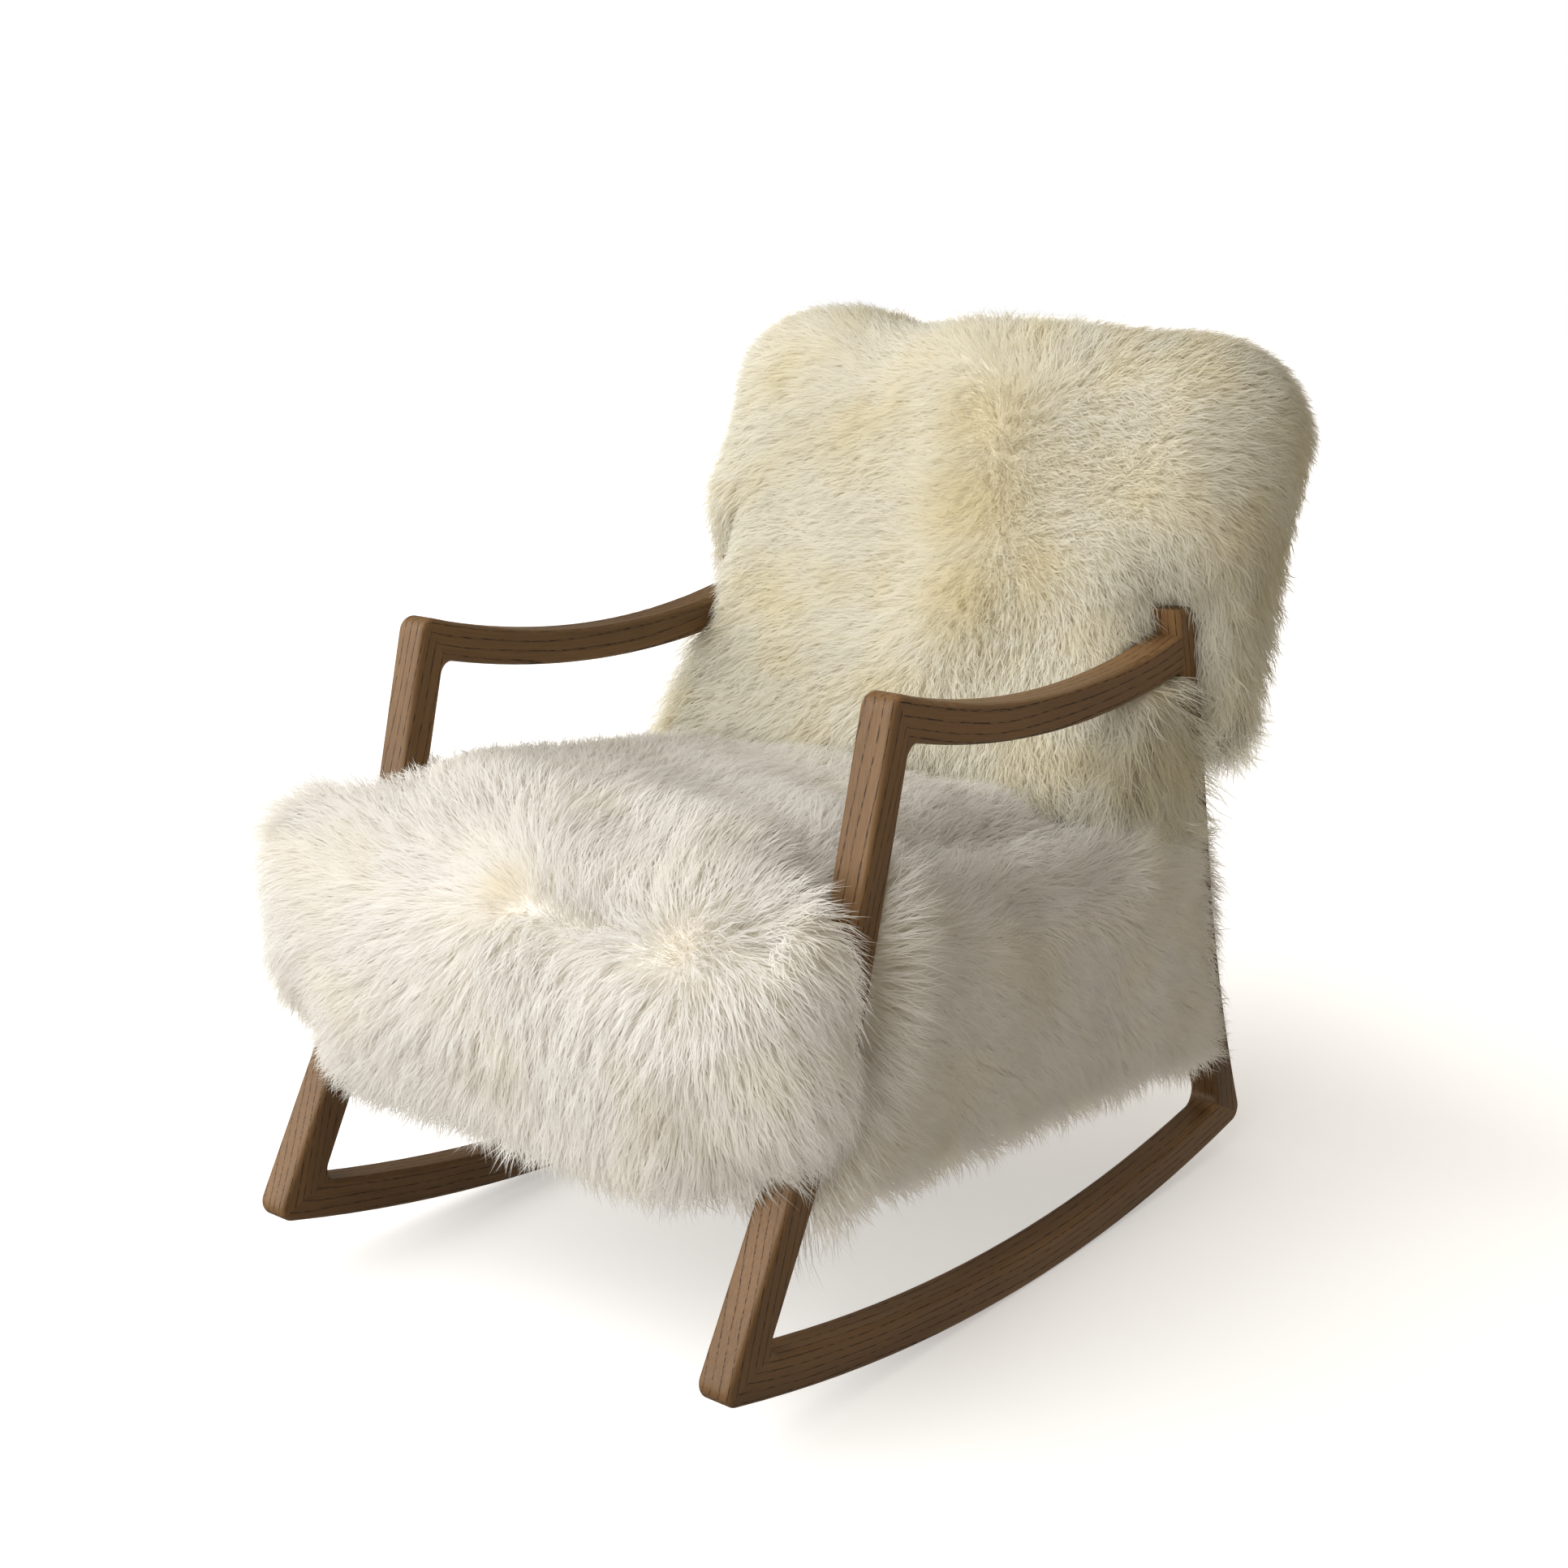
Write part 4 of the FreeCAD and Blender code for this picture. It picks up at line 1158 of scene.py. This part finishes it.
@dataclass
class SeatSkins(Skins):
    """Sheepskins of the seat: one run over the front roll, the top, the sides and the rear of the box."""

    slot: str = "seat_wool"
    felt_name: str = "felted_white_underwool"
    wool_name: str = "combed_white_sheep_wool"
    # root: creamier root colour, partly the wool's own tint, partly painted shade deep in the fleece
    wool: SheepWool = SheepWool(tip="#FCFBF8", root="#F3EEE4", yellowed="#F9F2DF", patch_share=0.3,
                                stains=((0.007, -0.504, 0.449, 0.045), (0.198, -0.505, 0.443, 0.035)))
    growth: Growth = Growth(length=0.052, width=0.0009, spacing=0.0023, tuft=0.0060, root_lift=0.55,
                            tip_lift=0.12, sag=0.18, gather=0.29, wave=0.03, turns=1.0, wander=0.13,
                            swirl=0.25, swirl_size=0.16, seed=11)
    parting: Parting = Parting((0.007, -0.504, 0.449), (0.198, -0.505, 0.443), whorl=0.06)
    inset: float = 7 * MM
    lump: float = 4 * MM
    lump_size: float = 0.15
    crest: tuple[float, float] = (0.405, 0.385)    # middle of the front roll's round top: ahead and up
    crest_radius: float = 0.098
    end: tuple[float, float] = (0.213, 0.372)      # the same for its round ends: sideways and up
    end_radius: float = 0.122
    roll_rear: float = -0.375      # Y at which the front roll ends
    droop: float = 1.0             # pull of the wool's own weight at the ends of the front roll
    ends_x: Ramp = Ramp(0.21, 0.30)
    ends_ahead: Ramp = Ramp(0.36, 0.42)
    side_facing: Ramp = Ramp(0.35, 0.75)
    side_y: Ramp = Ramp(-0.40, -0.35)              # the sides begin behind the front legs
    side_flow: tuple = (0.0, 0.78, -0.62)
    side_top: Ramp = Ramp(0.36, 0.43)              # where the sides' wool is swept up instead
    side_sweep: float = 0.97
    rear_facing: Ramp = Ramp(0.3, 0.7)
    rear_y: Ramp = Ramp(0.15, 0.2)
    rear_flow: tuple = (0.0, 0.35, -0.94)
    spill: float = 1.4             # how far the wool behind the posts runs outwards, against 1 downwards
    corner: tuple[Ramp, Ramp, Ramp] = (Ramp(0.15, 0.23), Ramp(0.22, 0.28), Ramp(0.22, 0.31))
    corner_extra: float = 0.5      # added length at those upper rear corners
    hem: Ramp = Ramp(-0.27, -0.22)                 # the lower edge, by depth
    hem_extra: float = 0.15
    under_facing: float = -0.6     # the underside is bare behind its front edge
    under_y: float = -0.46

    def hide(self) -> Hide:
        """Gives the skin and what it covers.

        Returns:
            The hide.
        """
        skins = ("seat_sheepskin", "seat_side_sheepskin_left", "seat_side_sheepskin_right",
                 "seat_rear_sheepskin", "seat_foam", "seat_front_bolster")
        panels = ("seat_side_panel_left", "seat_side_panel_right")
        wood = panels + ("seat_front_board", "seat_rear_rail", "seat_rear_deck")
        return Hide("seat_cushion", skins + ("seat_front_board",), skins, panels, wood, self.inset)

    def shape(self, piece: bpy.types.Object) -> None:
        """Rounds the top of the front roll, along its length and at its ends, and ripples the padding.

        Args:
            piece: Hide of the seat.
        """
        at = read(piece.data.vertices, "co")
        for axis, middle, radius in ((1, self.crest, self.crest_radius), (0, self.end, self.end_radius)):
            sign = np.sign(at[:, axis]) if axis == 0 else -1.0
            far = np.stack([sign * at[:, axis] - middle[0], at[:, 2] - middle[1]], axis=1)
            size = np.maximum(np.linalg.norm(far, axis=1), radius)
            corner = (far > 0).all(axis=1) & (at[:, 1] < self.roll_rear)
            rounded = far * (radius / size)[:, None] + np.array(middle)
            at[:, axis] = np.where(corner, sign * rounded[:, 0], at[:, axis])
            at[:, 2] = np.where(corner, rounded[:, 1], at[:, 2])
        move(piece, at)
        self.ripple(piece)

    def rear_corner(self, points: np.ndarray) -> np.ndarray:
        """Gives 1 at the upper rear corners, behind the posts, as a column."""
        across, rear, up = self.corner
        return across.at(np.abs(points[:, 0])) * rear.at(points[:, 1]) * up.at(points[:, 2])

    def flow(self, points: np.ndarray, normals: np.ndarray) -> np.ndarray:
        """Combs the wool outwards from the parting, to the rear and down on the sides, and down behind.

        Args:
            points: Places on the hide.
            normals: Normals there.

        Returns:
            Combed directions.
        """
        x, y, z = points.T
        combed = self.parting.flow(points)
        ends = self.ends_x.at(np.abs(x)) * self.ends_ahead.at(-y)
        combed = combed + np.array([0.0, 0.0, -self.droop]) * ends
        side = self.side_facing.at(np.abs(normals[:, 0])) * self.side_y.at(y)
        swept = np.array(self.side_flow) + np.array([0.0, 0.0, self.side_sweep]) * self.side_top.at(z)
        combed = combed * (1 - side) + swept * side
        rear = self.rear_facing.at(normals[:, 1]) * self.rear_y.at(y)
        spill = self.spill * np.sign(x)[:, None] * self.rear_corner(points)
        return combed * (1 - rear) + (np.array(self.rear_flow) + spill * np.array([1.0, 0.0, 0.0])) * rear

    def reach(self, points: np.ndarray, normals: np.ndarray) -> np.ndarray:
        """Leaves the wool longer along the lower edge and at the upper rear corners."""
        hem = self.hem_extra * self.hem.at(-points[:, 2])
        return (1 + hem + self.corner_extra * self.rear_corner(points))[:, 0]

    def cover(self, points: np.ndarray, normals: np.ndarray) -> np.ndarray:
        """Leaves the underside bare, apart from its front edge."""
        return np.where((normals[:, 2] < self.under_facing) & (points[:, 1] > self.under_y), 0.0, 1.0)


@dataclass
class BackSkins(Skins):
    """Sheepskins of the back: front, top, wings, rear and the corners beside its foot, in one run."""

    slot: str = "back_wool"
    felt_name: str = "felted_cream_underwool"
    wool_name: str = "curly_cream_sheep_wool"
    # root: creamier root colour, partly the wool's own tint, partly painted shade deep in the fleece
    wool: SheepWool = SheepWool(tip="#F2F0E5", root="#ECE6D5", yellowed="#EDE3BF", patch_share=0.6,
                                stains=((0.045, 0.18, 0.81, 0.10), (0.055, 0.15, 0.73, 0.11),
                                        (0.068, 0.115, 0.64, 0.09)))
    growth: Growth = Growth(length=0.037, width=0.0009, spacing=0.0023, tuft=0.0056, root_lift=0.52,
                            tip_lift=0.20, sag=0.14, gather=0.25, wave=0.060, turns=1.5, wander=0.20,
                            swirl=0.5, swirl_size=0.17, seed=41)
    parting: Parting = Parting((0.043, 0.194, 0.846), (0.071, 0.108, 0.621), whorl=0.11)
    inset: float = 5 * MM
    smoothing: int = 5
    lump: float = 5 * MM
    lump_size: float = 0.16
    lobes: tuple[tuple, ...] = ((-0.33, -0.026), (-0.20, 0.006), (-0.09, -0.008), (0.145, -0.010),
                                (0.225, -0.004), (0.33, -0.030))
    lobe_width: float = 0.060      # lobes of the top edge, given by place across the chair and height
    lobe_z: Ramp = Ramp(0.72, 0.86)
    droop: float = 0.45            # pull of the wool's own weight in front, below the top edge
    droop_depth: Ramp = Ramp(-0.86, -0.74)
    wing_x: Ramp = Ramp(0.16, 0.26)
    wing_depth: Ramp = Ramp(-0.76, -0.66)          # the wings end above the armrests
    wing_share: float = 0.9
    rear_facing: Ramp = Ramp(0.1, 0.7)
    low_depth: Ramp = Ramp(-0.62, -0.54)
    spread: float = 1.8            # how far hanging wool runs outwards, by place across the chair
    low_spread: float = 2.2        # and how much further behind the posts
    side_facing: Ramp = Ramp(0.35, 0.75)
    side_depth: Ramp = Ramp(-0.66, -0.60)
    side_flow: tuple = (0.0, 0.45, -0.9)
    foot_x: Ramp = Ramp(0.20, 0.26)
    foot_facing: Ramp = Ramp(0.15, 0.5)
    foot_depth: Ramp = Ramp(-0.60, -0.54)
    foot_flow: tuple = (0.9, -0.6, -0.7)           # its first part by place across the chair
    long_x: Ramp = Ramp(0.20, 0.28)
    long_depth: Ramp = Ramp(-0.74, -0.66)
    long_facing: Ramp = Ramp(0.1, 0.5)
    wing_extra: float = 0.45       # added length at the wings' lower corners
    low_extra: float = 0.9         # and low behind and on the sides
    under_facing: float = -0.8     # the underside is bare between the wings
    under_x: float = 0.235

    def hide(self) -> Hide:
        """Gives the skin and what it covers.

        Returns:
            The hide.
        """
        skins = ("back_front_sheepskin", "back_rear_sheepskin", "back_side_sheepskin_left",
                 "back_side_sheepskin_right", "back_foam", "back_rear_padding", "back_side_pad_left",
                 "back_side_pad_right")
        wood = ("back_stile_left", "back_stile_right", "back_bottom_rail", "back_middle_rail",
                "back_top_rail")
        return Hide("back_cushion", skins, skins, wood, wood, self.inset, smoothing=self.smoothing)

    def shape(self, piece: bpy.types.Object) -> None:
        """Ripples the padding, and gives the top edge its lobes.

        Args:
            piece: Hide of the back.
        """
        self.ripple(piece)
        at = read(piece.data.vertices, "co")
        rise = sum(height * np.exp(-((at[:, 0] - place) / self.lobe_width) ** 2)
                   for place, height in self.lobes)
        at[:, 2] += rise * self.lobe_z.at(at[:, 2])[:, 0]
        move(piece, at)

    def flow(self, points: np.ndarray, normals: np.ndarray) -> np.ndarray:
        """Combs the wool outwards in front, and down behind, at the wings' lower corners and on the sides.

        Args:
            points: Places on the hide.
            normals: Normals there.

        Returns:
            Combed directions.
        """
        x, depth = points[:, 0], -points[:, 2]
        wide, none, all_ = np.abs(x), np.zeros(len(x)), np.ones(len(x))
        combed = self.parting.flow(points)
        combed = combed + np.array([0.0, 0.0, -self.droop]) * self.droop_depth.at(depth)
        corner = self.wing_x.at(wide) * self.wing_depth.at(depth)
        hang = np.maximum(self.rear_facing.at(normals[:, 1]), self.wing_share * corner)
        spread = self.spread + self.low_spread * self.low_depth.at(depth)[:, 0]
        combed = combed * (1 - hang) + np.stack([spread * x, none, -all_], axis=1) * hang
        side = self.side_facing.at(np.abs(normals[:, 0])) * self.side_depth.at(depth)
        combed = combed * (1 - side) + np.array(self.side_flow) * side
        foot = self.foot_x.at(wide) * self.foot_facing.at(-normals[:, 1]) * self.foot_depth.at(depth)
        return combed * (1 - foot) + np.array(self.foot_flow) * np.stack([x, all_, all_], axis=1) * foot

    def reach(self, points: np.ndarray, normals: np.ndarray) -> np.ndarray:
        """Leaves the wool longer at the wings' lower corners, behind, and low on the sides.

        Args:
            points: Places on the hide.
            normals: Normals there.

        Returns:
            Factors on the length.
        """
        depth = -points[:, 2]
        wide = self.long_x.at(np.abs(points[:, 0]))
        corner = wide * self.long_depth.at(depth)
        low = np.maximum(wide, self.long_facing.at(normals[:, 1])) * self.low_depth.at(depth)
        return (1 + self.wing_extra * corner + self.low_extra * low)[:, 0]

    def cover(self, points: np.ndarray, normals: np.ndarray) -> np.ndarray:
        """Leaves the underside bare between the wings."""
        return np.where((normals[:, 2] < self.under_facing) & (np.abs(points[:, 0]) < self.under_x), 0.0, 1.0)


@dataclass(frozen=True)
class StudioCamera:
    """Camera at the photograph's place, in metres and degrees."""

    place: tuple[float, float, float] = (1.2290, -1.7374, 0.9504)
    azimuth: float = 37.23
    elevation: float = 16.10
    roll: float = 1.437
    lens: float = 48.58
    sensor: float = 36.0
    shift_x: float = 0.00845
    shift_y: float = 0.0671

    def build(self) -> None:
        """Sets the scene's camera."""
        turn, tilt, roll = (math.radians(a) for a in (self.azimuth, self.elevation, self.roll))
        back = Vector((math.sin(turn) * math.cos(tilt), -math.cos(turn) * math.cos(tilt), math.sin(tilt)))
        level = Vector((math.cos(turn), math.sin(turn), 0))
        rise = back.cross(level)
        right = level * math.cos(roll) + rise * math.sin(roll)
        up = rise * math.cos(roll) - level * math.sin(roll)
        data = bpy.data.cameras.new("camera")
        data.lens = self.lens
        data.sensor_fit = "HORIZONTAL"
        data.sensor_width = self.sensor
        data.shift_x = self.shift_x
        data.shift_y = self.shift_y
        camera = new_piece("camera", data)
        camera.matrix_world = Matrix.Translation(self.place) @ Matrix((right, up, back)).transposed().to_4x4()
        bpy.context.scene.camera = camera
        LOG.info("camera placed")


@dataclass
class Studio:
    """Backlit white floor, white wall and a broad window of light from the sitter's right front."""

    sheet: OpalAcrylic = OpalAcrylic(tint="#FBFBFB", glow=0.34)
    floor_edge: float = 60.0
    floor_cells: int = 8
    surround: float = 0.37         # light of the room, against 1 for the white wall seen behind the chair
    surround_tint: str = "#FFF2DE"
    key_from: tuple[float, float, float] = (-0.45, -0.85, 0.40)
    key_strength: float = 4.6
    key_spread: float = 90.0       # degrees across the window, as seen from the chair

    def floor(self) -> None:
        """Lays the floor, which lights and mirrors nothing of the chair."""
        body = bmesh.new()
        cells = self.floor_cells
        bmesh.ops.create_grid(body, x_segments=cells, y_segments=cells, size=self.floor_edge)
        floor = new_piece("studio_floor", bpy.data.meshes.new("studio_floor"))
        body.to_mesh(floor.data)
        body.free()
        dress(floor, self.sheet.material("opal_acrylic_floor"))
        floor.visible_diffuse = False
        floor.visible_glossy = False

    def lights(self) -> None:
        """Sets the window of light and the surroundings."""
        data = bpy.data.lights.new("window_light", "SUN")
        data.energy = self.key_strength
        data.angle = math.radians(self.key_spread)
        light = new_piece("window_light", data)
        light.rotation_euler = Vector(self.key_from).to_track_quat("Z", "Y").to_euler()
        world = bpy.data.worlds.new("white_surroundings")
        bpy.context.scene.world = world
        world.use_nodes = True
        tree = world.node_tree
        tree.nodes.clear()
        seen = add_node(tree, "LightPath").outputs["Is Camera Ray"]
        room = add_node(tree, "Background", {"Color": linear(self.surround_tint), "Strength": self.surround})
        wall = add_node(tree, "Background", {"Color": linear(WHITE), "Strength": 1.0})
        sky = add_node(tree, "MixShader", None, {0: seen, 1: room, 2: wall})
        add_node(tree, "OutputWorld", None, {"Surface": sky})
        bpy.context.scene.view_settings.view_transform = "Standard"

    def build(self) -> None:
        """Sets up the studio."""
        self.floor()
        self.lights()
        LOG.info("studio set")


def main() -> None:
    """Builds the studio, dresses the frame and grows the wool."""
    logging.basicConfig(level=logging.INFO, format="%(message)s")
    StudioCamera().build()
    Studio().build()
    frames = SideFrames()
    frames.dress()
    HiddenWorks().dress()
    guard = TimberGuard(frames.members())
    SeatSkins().build(guard)
    BackSkins().build(guard)


if __name__ == "__main__":
    main()
